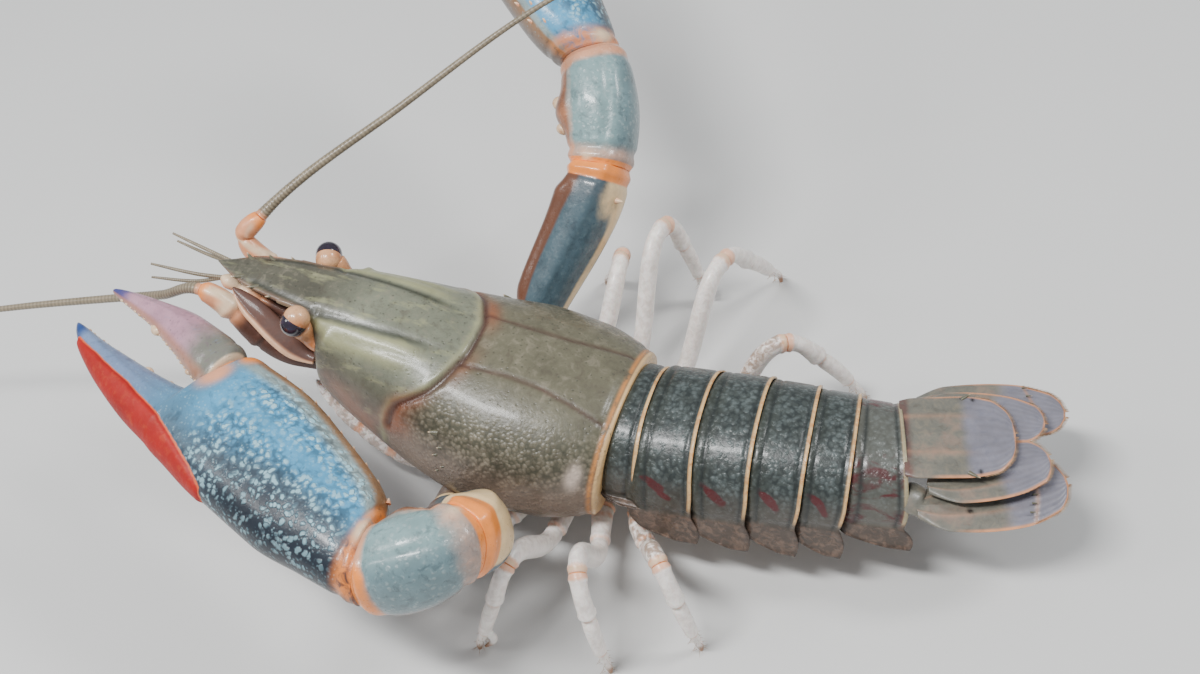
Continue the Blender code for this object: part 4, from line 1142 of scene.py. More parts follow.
def tergite_skin(number, front, rear):
    """The arched plate of one ring with both of its hanging side plates, as an open sheet."""
    length, half, depth, _, _ = PLEOMERES[number]
    arc = 1.0
    reach = 1.42
    drop = PLEURON_DROP * (0.12 if number == 0 else 0.7 if number == 5 else 1.0)
    tuck = 1.2 if number else 0.2
    lip = 0.9

    def place(t, turn):
        """Go over the back from side to side: beyond the arc, the side plate hangs and slants to the rear."""
        q = reach * (turn / math.pi - 1)
        size = abs(q)
        angle = min(size, arc) * math.pi / 2
        hang = max(0, size - arc) / (reach - arc)
        across = half * power(math.sin(angle), 2 / RING_SQUARE_ACROSS)
        height = -depth + depth * power(math.cos(angle), 2 / RING_SQUARE_UP) - drop * hang
        across += 1.1 * hang ** 1.5
        start = -tuck + (0.72 * length + tuck + 0.6) * hang ** 2.8
        stop = length + lip + 1.6 * math.sin(2.4 * hang) - 0.9 * ramp(size, 0.75, 1.1)
        along = start + (stop - start) * t
        shrink = 1 - 1.2 * fade(along, -0.6, 0.16 * length) / half * (1 - hang)
        return ring_point(front, rear, length, along, math.copysign(across * shrink, q),
                          -depth + (height + depth) * shrink)

    def marks(t, turn, points):
        """The rear band, the folds behind and before it, the side plate's edge and the crimson patches."""
        q = np.abs(reach * (turn / math.pi - 1))
        hang = np.clip((q - arc) / (reach - arc), 0, 1)
        start = -tuck + (0.72 * length + tuck + 0.6) * hang ** 2.8
        along = start + (length + lip - start) * t
        back = length + lip - along
        plate = ramp(q, 0.97, 1.05)
        band = fade(back, 0.55, 0.85) * fade(q, 0.86, 1.0)
        fold = hump(along, 0.26 * length, 0.5) * (1 - plate) * (number > 0)
        edge = np.clip(fade(np.minimum(t, 1 - t), 0.02, 0.14) + ramp(hang, 0.82, 0.98), 0, 1)
        groove = hump(back, 1.6, 0.4) * (1 - plate)
        relief = 0.22 * band - 0.22 * fold - 0.2 * groove + 0.25 * edge * plate - 0.3 * hump(q, 0.98, 0.03)
        share = np.clip((along / length - 0.12) / 0.66, 0, 1)
        comma = hump(q, 0.66 + 0.22 * share ** 1.6, 0.04 + 0.05 * share) * hump(share, 0.5, 0.42)
        crimson = comma * (0 < number < 5) + (number == 5) * 0.42 * ramp(q, 0.05, 0.3) * (1 - 0.5 * plate)
        fore = fade(along, 0.2 * length, 0.5 * length) * (1 - plate)
        return {"plate": plate, "band": band, "fore": fore, "fold": np.clip(fold + groove, 0, 1),
                "edge": edge, "low": q / reach, "crimson": np.clip(crimson, 0, 1), "relief": relief,
                "last": np.full(len(t), float(number == 5))}

    return skin(46, 180, place, marks, closed=False)


def belly_skin(number, front, rear):
    """The soft ribbed underside that fills a ring below its plate."""
    length, half, depth, _, _ = PLEOMERES[number]

    def place(t, turn):
        rise = math.cos(turn)
        across = (half - 1.4) * power(math.sin(turn), 2 / RING_SQUARE_ACROSS)
        lift = (depth - 1.4) * power(rise, 2 / RING_SQUARE_UP) if rise > 0 else 2.2 * rise * rise
        return ring_point(front, rear, length, 0.1 + (length - 0.2) * t, across, -depth + lift)

    def marks(t, turn, points):
        low = np.cos(turn) < 0
        return {"relief": low * (0.35 * hump(t, 0.5, 0.18) - 0.3 * hump(t, 0.15, 0.1))}

    return skin(26, 72, place, marks)


def swimmeret_forms(number, front, rear):
    """The pair of small paddles under a ring, each with two leaves."""
    depth = PLEOMERES[number][2]
    middle = front.lerp(rear, 0.5)
    forms = []
    lie = middle.to_3x3() @ Vector((1, 0, 0.3))
    for side, _ in SIDES:
        root = middle @ Vector((0, side * 9, -depth + 1.6))
        knee = middle @ Vector((2.0, side * 8.4, -depth - 4.5))
        stem_rows = ((0, 1.1, 0.9), (1, 0.8, 0.7))
        forms.append(limb([root, knee], stem_rows, up=lie, along=14, around=16, last=0.2))
        for spread, reach in ((0.9, -11.4), (-1.1, -10.2)):
            low = middle @ Vector((3.4, side * (8 + spread), -depth - 7))
            end = middle @ Vector((5.2, side * (6.9 + 1.6 * spread), -depth + reach))
            rows = ((0, 0.6, 0.4), (0.4, 1.7, 0.35), (0.75, 1.6, 0.3), (1, 0.7, 0.2))
            forms.append(limb([knee, low, end], rows, up=lie, along=24, around=16, last=0.2))
    return forms


# Tail fan.


# Rows of the telson and of the inner and outer leaves: share of the length, half width, half thickness.
TELSON_ROWS = ((0, 10.6, 1.5), (0.12, 11.4, 1.3), (0.55, 11.6, 0.9), (0.8, 10.4, 0.6),
               (0.93, 7.4, 0.4), (0.98, 4.2, 0.3), (1, 0.5, 0.2))
INNER_LEAF_ROWS = ((0, 2.0, 1.0), (0.25, 5.6, 0.6), (0.65, 7.0, 0.4), (0.88, 5.8, 0.3),
                   (0.96, 3.6, 0.25), (1, 0.6, 0.2))
OUTER_LEAF_ROWS = ((0, 2.4, 1.0), (0.2, 6.6, 0.6), (0.65, 8.8, 0.45), (0.88, 7.0, 0.3),
                   (0.96, 4.4, 0.25), (1, 0.8, 0.2))
# Where the toothed seam crosses the outer leaves.
OUTER_SEAM = 0.74


def leaf_skin(frame, root, tip, tilt, rows, seam=None, root_mark=0.0, dots=()):
    """A thin leaf of the tail fan with rays, a rim and, on the outer leaves, a toothed cross seam."""
    points = [frame @ Vector(root), frame @ Vector(tip)]
    up = frame.to_3x3() @ Vector((0, math.sin(tilt), math.cos(tilt)))
    size = smooth(rows)

    def marks(t, turn):
        side = np.sin(turn)
        width = np.array([size(place)[0] for place in t])
        inward = width * (1 - np.abs(side) ** 0.9)
        ahead = (1 - t) * (points[1] - points[0]).length
        edge = fade(np.minimum(inward, ahead * 1.2), 0.25, 0.75)
        edge *= ramp(t, 0.18, 0.4)
        lines = np.sin(np.arcsin(np.clip(side, -1, 1)) * 26) * 0.5 + 0.5
        spine_line = hump(side, 0.02, 0.07) * fade(t, 0.6, 0.9)
        ribs = hump(np.abs(side), 0.45, 0.06) * fade(t, 0.45, 0.7)
        cross = np.zeros(len(t))
        relief_step = 0
        if seam:
            past = t - seam - 0.05 * np.cos(side * 2.4)
            cross = hump(past, 0, 0.014)
            relief_step = -0.25 * ramp(past, -0.01, 0.01)
        top = np.sign(np.cos(turn)) * 0.5 + 0.5
        tip_mark = ramp(t, 0.42, 0.72)
        relief = (0.3 * spine_line + 0.16 * ribs + relief_step + 0.03 * lines * tip_mark) * top
        dark = np.zeros(len(t))
        for place, across in dots:
            dark = np.maximum(dark, hump(t, place, 0.016) * hump(side * width, across, 0.5))
        return {"tip": tip_mark, "edge": edge, "rays": lines, "seam": np.clip(cross + 0.5 * ribs, 0, 1),
                "root": root_mark * fade(t, 0.05, 0.11), "dot": np.clip(dark * 1.6, 0, 1), "relief": relief}

    return limb(points, rows, up=up, start=frame.to_3x3() @ Vector((1, 0, 0)), along=110, around=96,
                first=0.01, last=0.004, marks=marks)


def fringe(frame, root, tip, tilt, rows, first, length):
    """Short bristles along both edges of a leaf, from the share first of its length to its tip."""
    count = 90
    start = frame @ Vector(root)
    axis = frame @ Vector(tip) - start
    up = (frame.to_3x3() @ Vector((0, math.sin(tilt), math.cos(tilt)))).normalized()
    side = axis.normalized().cross(up).normalized()
    size = smooth(rows)

    def rim(t, way):
        return start + axis * t + side * way * size(t)[0] * 0.985

    places = []
    for way in (-1, 1):
        for k in range(count):
            t = first + (1 - first) * (1 - (1 - (k + 0.5) / count) ** 1.6)
            here = rim(t, way)
            run = (rim(min(t + 0.01, 1), way) - here).normalized()
            out = (side * way - run * run.dot(side * way)).normalized()
            droop = up * (0.12 * math.sin(7.3 * k))
            way_out = (out * 0.75 + axis.normalized() * 0.6 + droop).normalized()
            places.append((here, here + way_out * length, BRISTLE_RADIUS))
    return spikes(places, around=3)


# Claws and arms.


def sided(point, side):
    """A point given by its distance out from the midline, on one side."""
    return Vector((point[0], side * point[1], point[2]))


def bend_way(before, joint, after):
    """The direction of travel through a joint, halfway between those of the parts before and after it."""
    return ((joint - before).normalized() + (after - joint).normalized()).normalized()


def coxa_way(side, lean):
    """The direction that a leg leaves the body in."""
    return Vector((lean, side, 0.05)).normalized()


def cheliped_joints(name, side):
    """The joints of one claw-bearing limb, its directions of travel and the claw's direction."""
    points = [sided(point, side) for point in CHELIPED_JOINTS[name]]
    claw_way = Vector(CLAW_DIRECTION[name]).normalized()
    chords = [(b - a).normalized() for a, b in zip(points, points[1:] + [points[-1] + claw_way])]
    ways = [coxa_way(side, CLAW_LEAN)] + [(a + b).normalized() for a, b in zip(chords, chords[1:])]
    return points, ways, claw_way


def claw_frame(name, side):
    """The claw's frame: X from the wrist to the tips, Y to the inner edge, Z out of the upper face."""
    points, ways, claw_way = cheliped_joints(name, side)
    inner = (claw_way.cross(UP) * -side).normalized()
    inner.rotate(Quaternion(claw_way, math.radians(-side * CLAW_ROLL[name])))
    face = (claw_way.cross(inner) * side).normalized()
    place = Matrix((claw_way, inner, face)).transposed().to_4x4()
    place.translation = points[-1]
    return place, ways[3]


def palm_skin(place, wrist_way, side):
    """The palm and fixed finger, with the soft red patch along the outer edge."""
    size = smooth(PALM_ROWS)
    steps = smooth(((0, 0), (0.04, 1.2), (0.5, 55), (0.58, 61), (0.68, 65), (0.95, 101), (1, 104)))
    normal = place.to_3x3().inverted() @ wrist_way

    def point(t, turn):
        """A point of the section, slid along near the wrist until the end lies in the joint's plane."""
        along = steps(t)[0]
        inner, outer, thick = size(along)
        middle = (inner + outer) / 2
        across = middle + (inner - outer) / 2 * power(math.sin(turn), 2 / CLAW_SQUARE)
        deep = thick * power(math.cos(turn), 2 / CLAW_SQUARE)
        lean = max(0, 1 - along / 14) ** 2
        slide = -(normal.y * across + normal.z * deep) / normal.x * lean
        return place @ Vector((along + slide + GAP / 2, across, deep))

    def marks(t, turn, points):
        """The colour fields of the palm, and the raised red patch, knob, knuckle and finger rib."""
        along = np.array([steps(share)[0] for share in t])
        edges = np.array([size(spot) for spot in along])
        inner, outer = edges[:, 0], edges[:, 1]
        sine = np.sin(turn)
        across = (inner + outer) / 2 + (inner - outer) / 2 * np.sign(sine) * np.abs(sine) ** (2 / CLAW_SQUARE)
        top = np.cos(turn)
        from_outer = across - outer
        reach = np.interp(along, [40, 47, 62, 76, 90, 97, 101], [0.0, 2.4, 4.8, 5.0, 2.9, 1.1, 0.0])
        inside = reach - from_outer * (1 + 0.35 * np.maximum(0, -top))
        red = np.clip(0.5 + inside / 2.4, 0, 1) * ramp(reach, 0.1, 0.8)
        outer_share = np.clip((7.5 - across) / 17, 0, 1) * fade(along, 56, 74)
        outer_share *= 1 - 0.5 * ramp(along, 20, 55)
        outer_share = np.clip(outer_share + 0.35 * ramp(-top, 0.0, 0.6) * (along < 60), 0, 1)
        inner_mark = fade(along, 58, 62) * (
            ramp(across, inner - 8.0, inner - 1.0) * ramp(top, -0.3, 0.1) if side < 0 else
            ramp(across, inner - 13.0, inner - 6.0) * ramp(-top, -0.2, 0.2))
        strip = hump(across, 7.0 + 0.05 * (along - 30), 2.0) * ramp(along, 8, 20)
        spotted = ramp(top, -0.25, 0.25) * fade(along, 46, 56) * ramp(along, 3, 9)
        spotted *= ramp(inner - across, 1.5, 5.0) * (1 - 0.85 * strip)
        socket = hump(along, 60.5, 3.4) * hump(across, 9.5, 5.2) * ramp(top, -0.2, 0.3)
        knob = hump(along, 59.5, 2.6) * hump(across, 18.5, 2.6) * ramp(top, -0.6, 0.2)
        wrist = fade(along, 2.0, 5.0) * ramp(top, -0.6, 0.2)
        condyle = hump(along, 1.6, 1.8) * hump(across, 3.0, 3.2) * ramp(top, 0.0, 0.5)
        bulge = ramp(red, 0.4, 0.9)
        seam = hump(red, 0.42, 0.07)
        dent = hump(along, 59, 2.6) * hump(across, 12, 4.5) * ramp(top, 0.2, 0.7)
        rib = hump(across, (inner + outer) / 2 + 1.0, 0.9) * ramp(along, 62, 68) * ramp(top, 0.3, 0.8)
        relief = 0.55 * bulge - 0.3 * seam - 0.5 * dent + 0.35 * rib * fade(along, 92, 101)
        relief += 0.25 * hump(along, 1.6, 0.8) - 0.3 * hump(along, 3.4, 0.9)
        relief += 0.7 * knob + 0.5 * condyle
        return {"outer": outer_share, "far": np.clip((along - 54) / 50, 0, 1), "inner": inner_mark,
                "below": ramp(-top, 0.1, 0.7), "spotted": spotted, "socket": socket, "wrist": 0.8 * wrist,
                "knob": np.clip(1.6 * knob - 0.3, 0, 1), "condyle": np.clip(1.5 * condyle - 0.3, 0, 1),
                "red": red, "relief": relief}

    return skin(230, 150, point, marks)


def dactyl_skin(place):
    """The movable finger."""
    size = smooth(DACTYL_ROWS)
    steps = smooth(((0, 62.9), (0.06, 63.8), (0.94, 104), (1, 106)))

    def point(t, turn):
        along = steps(t)[0]
        inner, outer, thick = size(along)
        shrink = dome(t, 0.03, 0)
        across = (inner + outer) / 2 + (inner - outer) / 2 * shrink * power(math.sin(turn), 2 / CLAW_SQUARE)
        return place @ Vector((along, across, thick * shrink * power(math.cos(turn), 2 / CLAW_SQUARE)))

    def marks(t, turn, points):
        far = np.clip((np.array([steps(share)[0] for share in t]) - 63) / 42, 0, 1)
        side, top = np.sin(turn), np.cos(turn)
        rib = hump(side, 0.1, 0.16) * (top > 0) * ramp(far, 0.1, 0.25) * fade(far, 0.8, 0.95)
        hinge = fade(far, 0.012, 0.03) * ramp(top, -0.3, 0.4)
        relief = 0.3 * rib + 0.3 * hump(far, 0.045, 0.025) - 0.3 * hump(far, 0.11, 0.03)
        return {"far": far, "bite": ramp(-side, 0.55, 0.9), "hinge": hinge, "relief": relief}

    return skin(130, 90, point, marks)


# The teeth of the fixed and of the movable finger: the finger's rows and the column of its biting edge, where
# the teeth start, how far they lie from the edge in parts of their size, the large ones' sizes by number, and
# the others' mean size with its swing, pace and phase.
FINGER_TEETH = (
    (PALM_ROWS, 0, 66.5, -0.35, {7: 1.5, 3: 1.0}, (0.5, 0.12, 2.1, 0)),
    (DACTYL_ROWS, 1, 68.0, 0.35, {11: 1.7, 2: 0.95}, (0.45, 0.1, 1.7, 1)),
)


def finger_teeth(place):
    """Rounded teeth along both fingers' biting edges."""
    way = place.to_3x3() @ Vector((0, 1, 0))
    forms = []
    for rows, column, start, lift, large, (mean, swing, pace, phase) in FINGER_TEETH:
        edges = smooth(rows)
        teeth = []
        for k in range(20):
            along = start + 1.75 * k
            size = large.get(k, mean + swing * math.sin(pace * k + phase))
            root = place @ Vector((along, edges(along)[column] + lift * size, 0.25))
            teeth.append((root, (size, 1.1 * size, 0.8 * size), way))
        forms.append(knobs(teeth))
    return forms


def palm_points(place):
    """The row of blunt points along the palm's inner margin."""
    size = smooth(PALM_ROWS)
    places = []
    for row, lift in ((0, 1.2), (1, -1.8)):
        for k in range(9):
            along = 8 + 5.4 * k + 2.6 * row
            inner = size(along)[0]
            root = place @ Vector((along, inner - 0.8, lift))
            places.append((root, place @ Vector((along + 0.9, inner + 0.35, lift * 1.2)), 0.7))
    return spikes(places)


ARM_ROWS = {
    "ischium": ((0, 4.3, 4.3), (0.5, 4.9, 4.7), (1, 4.9, 5.1)),
    "merus": ((0, 4.9, 5.1), (0.2, 5.6, 6.6), (0.6, 6.8, 8.0), (0.9, 7.6, 8.8), (1, 7.2, 8.2)),
    "carpus": ((0, 7.2, 8.0), (0.2, 8.6, 9.0), (0.55, 9.4, 10.2), (0.85, 9.0, 9.6), (1, 7.6, 7.6)),
}


def arm_skin(part, name, side):
    """One segment of a claw-bearing limb, with its coloured ends and edges."""
    points, ways, _ = cheliped_joints(name, side)
    k = list(ARM_ROWS).index(part)
    ends = [points[k] + ways[k] * GAP / 2, points[k + 1] - ways[k + 1] * GAP / 2]
    length = (ends[1] - ends[0]).length
    square = {"ischium": 2.0, "merus": 2.3, "carpus": 2.4}[part]

    def marks(t, turn):
        """The colour fields by the distance from both joints, with the rings and bulges of each segment."""
        here, left = t * length, (1 - t) * length
        outward = np.sin(turn) * -side
        top = np.cos(turn)
        if part == "carpus":
            lobe = 0.75 * fade(left, 1.5, 6.0) * ramp(-outward, 0.1, 0.8) * (side < 0)
            soft = fade(left, 1.0, 5.0) + 0.35 * ramp(outward, 0.5, 0.7) + 0.42 * fade(here, 2, 7)
            kept = {"wrist": np.ones(len(t)), "orange": np.clip(0.8 * fade(here, 0.6, 1.6) + lobe, 0, 1),
                    "deep": ramp(-outward, 0.2, 0.85), "salmon": np.clip(soft, 0, 1),
                    "brown": np.clip(ramp(-top, 0.0, 0.7) * 0.5 + 0.9 * ramp(outward, 0.6, 0.9), 0, 1),
                    "condyle": 0.9 * hump(here, 1.2, 1.0) * hump(outward, 0.1, 0.14) * (top > 0)}
            dent = hump(outward, -0.25, 0.13) * ramp(top, 0.2, 0.6)
            relief = -0.5 * dent * ramp(here, 3, 8) * ramp(left, 2, 6) + 0.45 * hump(here, 1.6, 1.0)
            relief += 2.2 * ramp(outward, 0.6, 1.0) * hump(here, 0.5 * length, 5.0)
            relief += 0.4 * hump(left, 1.6, 0.9) - 0.3 * hump(left, 3.6, 0.9) - 0.35 * hump(here, 3.6, 0.9)
        elif part == "merus":
            near_elbow = ramp(left, 1.8, 3.4) * fade(left, 6, 18) * ramp(top, -0.5, 0.1)
            edge = 0.9 * ramp(-outward, 0.7, 0.95) * ramp(-top, -0.1, 0.25)
            pale = near_elbow * (1.0 if side < 0 else 0.7 * ramp(-outward, 0.3, 1.0))
            kept = {"orange": fade(left, 2.4, 4.2), "cream": np.clip(edge + pale, 0, 1),
                    "brown": np.clip(ramp(outward, 0.0, 0.4) + 0.3 * near_elbow * (side > 0), 0, 1)}
            relief = 0.4 * hump(left, 1.4, 0.9) - 0.3 * hump(left, 3.3, 0.9) + 0.3 * hump(here, 1.4, 0.9)
            relief += 0.5 * hump(top, 0.86, 0.12) * ramp(here, 6, 14)
            relief += 1.5 * ramp(outward, 0.3, 0.75) * ramp(here, 3, 10) * ramp(left, 4, 9)
        else:
            kept = {"orange": 0.8 * fade(here, 1.0, 2.6), "brown": np.full(len(t), 0.5),
                    "cream": np.clip(fade(left, 1.0, 2.4) + 0.4, 0, 1)}
            relief = 0.3 * hump(left, 1.2, 0.7) + 0.2 * hump(here, 1.2, 0.7)
        return {**kept, "relief": relief}

    return limb(ends, ARM_ROWS[part], start=ways[k], end=ways[k + 1], along=100, around=110, square=square,
                marks=marks)


def arm_spines(name, side):
    """Spines at the ends of the upper arm and along the wrist's inner edge."""
    points = cheliped_joints(name, side)[0]
    places = []
    merus = (points[2] - points[1]).normalized()
    carpus = (points[3] - points[2]).normalized()
    wide = merus.cross(UP).normalized() * side
    top = merus.cross(UP).normalized().cross(merus)
    root = points[2] - merus * 6.5 + wide * 6.2 + top * 0.5
    places.append((root, root + wide * 4.6 + merus * 0.8, 1.5))
    for k in range(5):
        root = points[2].lerp(points[1], 0.25 + 0.12 * k) - wide * 7.0 + top * 1.5
        places.append((root, root - wide * 1.9 + merus * 0.8, 0.7))
    wide = carpus.cross(UP).normalized()
    inward = wide * (1 if wide.dot(Vector((-0.6, -side, 0))) > 0 else -1)
    top = wide.cross(carpus)
    bumps = []
    for share, lift, size in ((0.36, 2.0, 1.9), (0.6, 1.2, 2.3), (0.5, -2.6, 1.7)):
        bumps.append((points[2].lerp(points[3], share) + inward * (9.0 - 0.4 * abs(lift)) + top * lift,
                      (size, 0.85 * size, 0.8 * size), inward + carpus * 0.4))
    return spikes(places, 14), knobs(bumps, 24)


# Walking legs.


def leg_skins(number, name, side):
    """The upper and the lower part of one walking leg, and the small finger of a pincer leg."""
    hip, knee, foot = [sided(point, side) for point in LEG_JOINTS[f"{number}{name}"]]
    way = coxa_way(side, dict(LEG_LEANS)[number])
    knee_way = bend_way(hip, knee, foot)
    thick = 0.92 if number == 5 else 1.0
    upper_rows = ((0, 2.6 * thick, 2.6 * thick), (0.3, 2.1, 2.4 * thick),
                  (0.7, 2.1, 2.7 * thick), (1, 2.0, 2.3))
    across = UP if abs(knee_way.z) < 0.9 else Vector((1, 0, 0))
    root, end = hip + way * GAP / 2, knee - knee_way * GAP / 2
    under = root.lerp(end, 0.4)
    under.z = root.z + 0.6

    def upper_marks(t, turn):
        joint = np.clip(0.7 * hump(t, 0.22, 0.024) + hump(t, 0.05, 0.03) * 0.6 + ramp(t, 0.93, 0.99), 0, 1)
        relief = 0.25 * hump(t, 0.2, 0.02) - 0.3 * hump(t, 0.235, 0.012) + 0.22 * hump(t, 0.97, 0.02)
        return {"joint": joint, "wash": (0.9 if number == 5 else 0.25) * ramp(np.cos(turn), -0.4, 0.8),
                "knuckle": 0.8 * hump(t, 0.985, 0.012) * (np.cos(turn) > 0.3), "relief": relief}

    def lower_marks(t, turn):
        joint = np.clip(0.8 * hump(t, 0.345, 0.022) + hump(t, 0.715, 0.02) * 0.8 + fade(t, 0.015, 0.06), 0, 1)
        relief = 0.25 * hump(t, 0.32, 0.018) - 0.3 * hump(t, 0.352, 0.01) + 0.2 * hump(t, 0.70, 0.015)
        relief += 0.22 * hump(t, 0.03, 0.02)
        return {"joint": joint, "wash": 0.2 * np.ones(len(t)), "toe": ramp(t, 0.86, 0.96), "relief": relief}

    upper = limb([root, under, end], upper_rows, start=way, end=knee_way, up=across, along=90, around=32,
                 marks=upper_marks)
    outward = knee - hip
    outward.z = 0
    outward.normalize()
    shin = knee.lerp(foot, 0.36) + outward * 2.5
    wrist = shin.lerp(foot, 0.55) + outward * 0.8
    lower_rows = ((0, 2.0, 2.2), (0.12, 1.9, 2.0), (0.3, 2.0, 2.3), (0.36, 1.7, 1.8), (0.42, 1.8, 2.0),
                  (0.66, 1.6, 1.8), (0.74, 1.2, 1.3), (0.9, 0.9, 0.9), (1, 0.5, 0.5))
    lower = limb([knee + knee_way * GAP / 2, shin, wrist, foot], lower_rows, start=knee_way, end=-UP,
                 up=outward, along=110, around=32, marks=lower_marks)
    finger = None
    if number in (2, 3):
        start = shin.lerp(foot, 0.5) + outward * 1.2 + Vector((1.0, 0, 0))
        bend = shin.lerp(foot, 0.75) + Vector((2.7, 0, 0))
        rows = ((0, 1.0, 1.0), (0.5, 0.85, 0.9), (1, 0.3, 0.3))
        finger = limb([start, bend, foot + Vector((1.6, 0, 1.2))], rows, up=outward, along=40, around=20,
                      first=0.1, last=0.05, marks=lambda t, turn: {"toe": ramp(t, 0.4, 0.9)})
    bristles = []
    for k in range(26):
        share = 0.55 + 0.42 * (k / 26)
        spot = shin.lerp(foot, share) + outward * 0.5
        angle = 2.4 * k
        out = Vector((math.cos(angle), math.sin(angle), 0.1)).normalized()
        bristles.append((spot + out * 0.9, spot + out * 2.3 + Vector((0, 0, -1.0)), BRISTLE_RADIUS))
    return upper, lower, finger, spikes(bristles, around=3)


# Head.


def eye_skins(name, side):
    """The stalk, the dark cornea on its end's outer half and the pale bulb behind the cornea."""
    root = on_carapace(FRONT_FACE - 0.6, side * 10.4, -3.8)
    end, centre = [on_carapace(place, side * out, height) for place, out, height in EYE_PLACES[name]]
    way = (centre - end).normalized()
    rows = ((0, 2.1, 2.1), (0.4, 1.9, 1.9), (0.8, 2.5, 2.5), (1, 2.7, 2.7))
    stalk = limb([root, end + way * 0.8], rows, start=FORWARD, end=way, along=40, around=36, last=0.1,
                 marks=lambda t, turn: {"orange": 1 - 0.5 * ramp(t, 0.3, 1.0)})
    look = Vector(EYE_LOOKS[name]).normalized()
    eye, bulb = bmesh.new(), bmesh.new()
    for form, radius, ahead in ((eye, 3.2, 0.6), (bulb, 3.15, -0.65)):
        matrix = Matrix.Translation(centre + look * ahead)
        bmesh.ops.create_uvsphere(form, u_segments=64, v_segments=40, radius=radius, matrix=matrix)
    orange = bulb.verts.layers.float.new("orange")
    for vert in bulb.verts:
        out = vert.co - centre
        vert[orange] = max(0.1, min(1, out.dot(look) / 2.0 + 1.4, 1.3 - out.dot(UP) / 3.0))
    return stalk, eye, bulb


def antenna_skins(name, side):
    """The jointed base, the flat scale beside it and the ringed whip of one antenna."""
    joints = [Vector(joint) for joint in ANTENNA_JOINTS[name]]
    joint = joints[-1]
    root = on_carapace(FRONT_FACE + GAP, side * 6.4, -13.5)
    middle = root.lerp(joints[0], 0.45) + Vector((0, side * 1.1, -4.6))
    points = [root, middle] + joints
    whip_points = [Vector(point) for point in FLAGELLA[name]]
    way = bend_way(points[-2], joint, whip_points[0])
    points[-1] = joint - way * GAP / 2
    bend = 0.8 if len(joints) > 1 else 1.0
    rows = [(0, 3.6, 3.8), (0.2 * bend, 3.7, 3.8), (0.45 * bend, 3.0, 3.0), (0.52 * bend, 3.2, 3.2),
            (0.72 * bend, 2.6, 2.6), (0.78 * bend, 2.9, 2.9), (0.96 * bend, 2.5, 2.5)]
    if len(joints) > 1:
        rows += [(0.84, 2.0, 2.0), (0.91, 2.5, 2.5), (0.96, 2.3, 2.3)]
    rows.append((1, 1.8, 1.8))

    def base_marks(t, turn):
        t = t / bend
        relief = -0.35 * (hump(t, 0.46, 0.012) + hump(t, 0.72, 0.012) + hump(t, 1.04, 0.012))
        relief += 0.25 * (hump(t, 0.5, 0.02) + hump(t, 0.77, 0.02) + hump(t, 1.09, 0.02))
        pale = ramp(np.sin(3.1 * turn + 9 * t) + np.cos(turn), 0.7, 2.0)
        knot = ramp(t, 0.6, 0.8) * np.clip(pale + hump(t, 0.8, 0.05), 0, 1)
        # dark: red-brown painted partly as shade over the root of the base.
        return {"knot": knot, "dark": fade(t, 0.62, 0.74), "orange": ramp(t * bend, 0.93, 0.98),
                "relief": relief}

    base = limb(points, rows, start=FORWARD, end=way, along=110, around=40, marks=base_marks)
    scale_points = [on_carapace(place, side * out, height) for place, out, height in SCALE_ROUTE]
    scale_rows = ((0, 1.4, 0.8), (0.3, 2.9, 0.6), (0.7, 2.6, 0.5), (0.92, 1.3, 0.45), (1, 0.3, 0.3))
    lie = (RISE + Vector((0, side * 0.5, 0))).normalized()

    def scale_marks(t, turn):
        outer = side * np.sin(turn)
        rim = ramp(outer, 0.5, 0.86)
        # dark: red-brown painted partly as shade over the scale's inner part.
        return {"dark": 1 - rim, "knot": 0.5 * rim,
                "relief": 0.35 * rim * ramp(t, 0.05, 0.2) * fade(t, 0.85, 0.98)}

    scale = limb(scale_points, scale_rows, start=FORWARD, up=lie, along=80, around=56, marks=scale_marks)
    whip_rows = ((0, 1.5, 1.5), (0.05, 1.2, 1.2), (0.4, 0.85, 0.85), (0.9, 0.4, 0.4), (1, 0.25, 0.25))

    def whip_marks(t, turn):
        rings = 0.5 + 0.5 * np.cos(math.tau * 118 * t ** 0.93)
        return {"whip": ramp(t, 0.0, 0.012), "ring": 1 - rings, "relief": 0.07 * rings * (1 - 0.6 * t)}

    whip = limb([joint + way * GAP / 2] + whip_points, whip_rows, start=way, along=620, around=10,
                marks=whip_marks)
    return base, scale, whip


def antennule_skins(side):
    """The short inner feeler: a jointed stalk that forks into two ringed threads."""
    root = on_carapace(FRONT_FACE + GAP, side * 2.6, -7.6)
    knot = on_carapace(102.8, side * 2.6, -0.4)
    rows = ((0, 1.8, 1.8), (0.3, 1.9, 1.8), (0.6, 1.5, 1.5), (0.74, 1.7, 1.7), (0.8, 1.2, 1.2),
            (0.92, 1.9, 1.9), (1, 1.3, 1.3))

    def stalk_marks(t, turn):
        pinch = hump(t, 0.62, 0.02) + hump(t, 0.82, 0.02)
        # dark: red-brown painted partly as shade over the stalk's root.
        return {"relief": -0.3 * pinch, "knot": ramp(t, 0.62, 0.84) * ramp(np.cos(turn), -0.3, 0.7),
                "dark": fade(t, 0.5, 0.66)}

    def thread_marks(t, turn):
        rings = 0.5 + 0.5 * np.cos(math.tau * 34 * t)
        return {"whip": np.ones(len(t)), "ring": 1 - rings, "relief": 0.04 * rings}

    points = [root, on_carapace(88, side * 3.0, -5.2), knot]
    forms = [limb(points, rows, start=FORWARD, along=70, around=28, last=0.08, marks=stalk_marks)]
    thread_rows = ((0, 0.5, 0.5), (0.6, 0.4, 0.4), (1, 0.25, 0.25))
    for lift, spread in ((2.2, 2.4), (-1.6, 3.4)):
        thread = [knot - FORWARD * 0.8, on_carapace(109, side * (2.9 + 0.4 * spread), -1.9 + 0.6 * lift),
                  on_carapace(120, side * (2.9 + spread), -2.2 + lift)]
        forms.append(limb(thread, thread_rows, along=200, around=8, marks=thread_marks))
    return forms


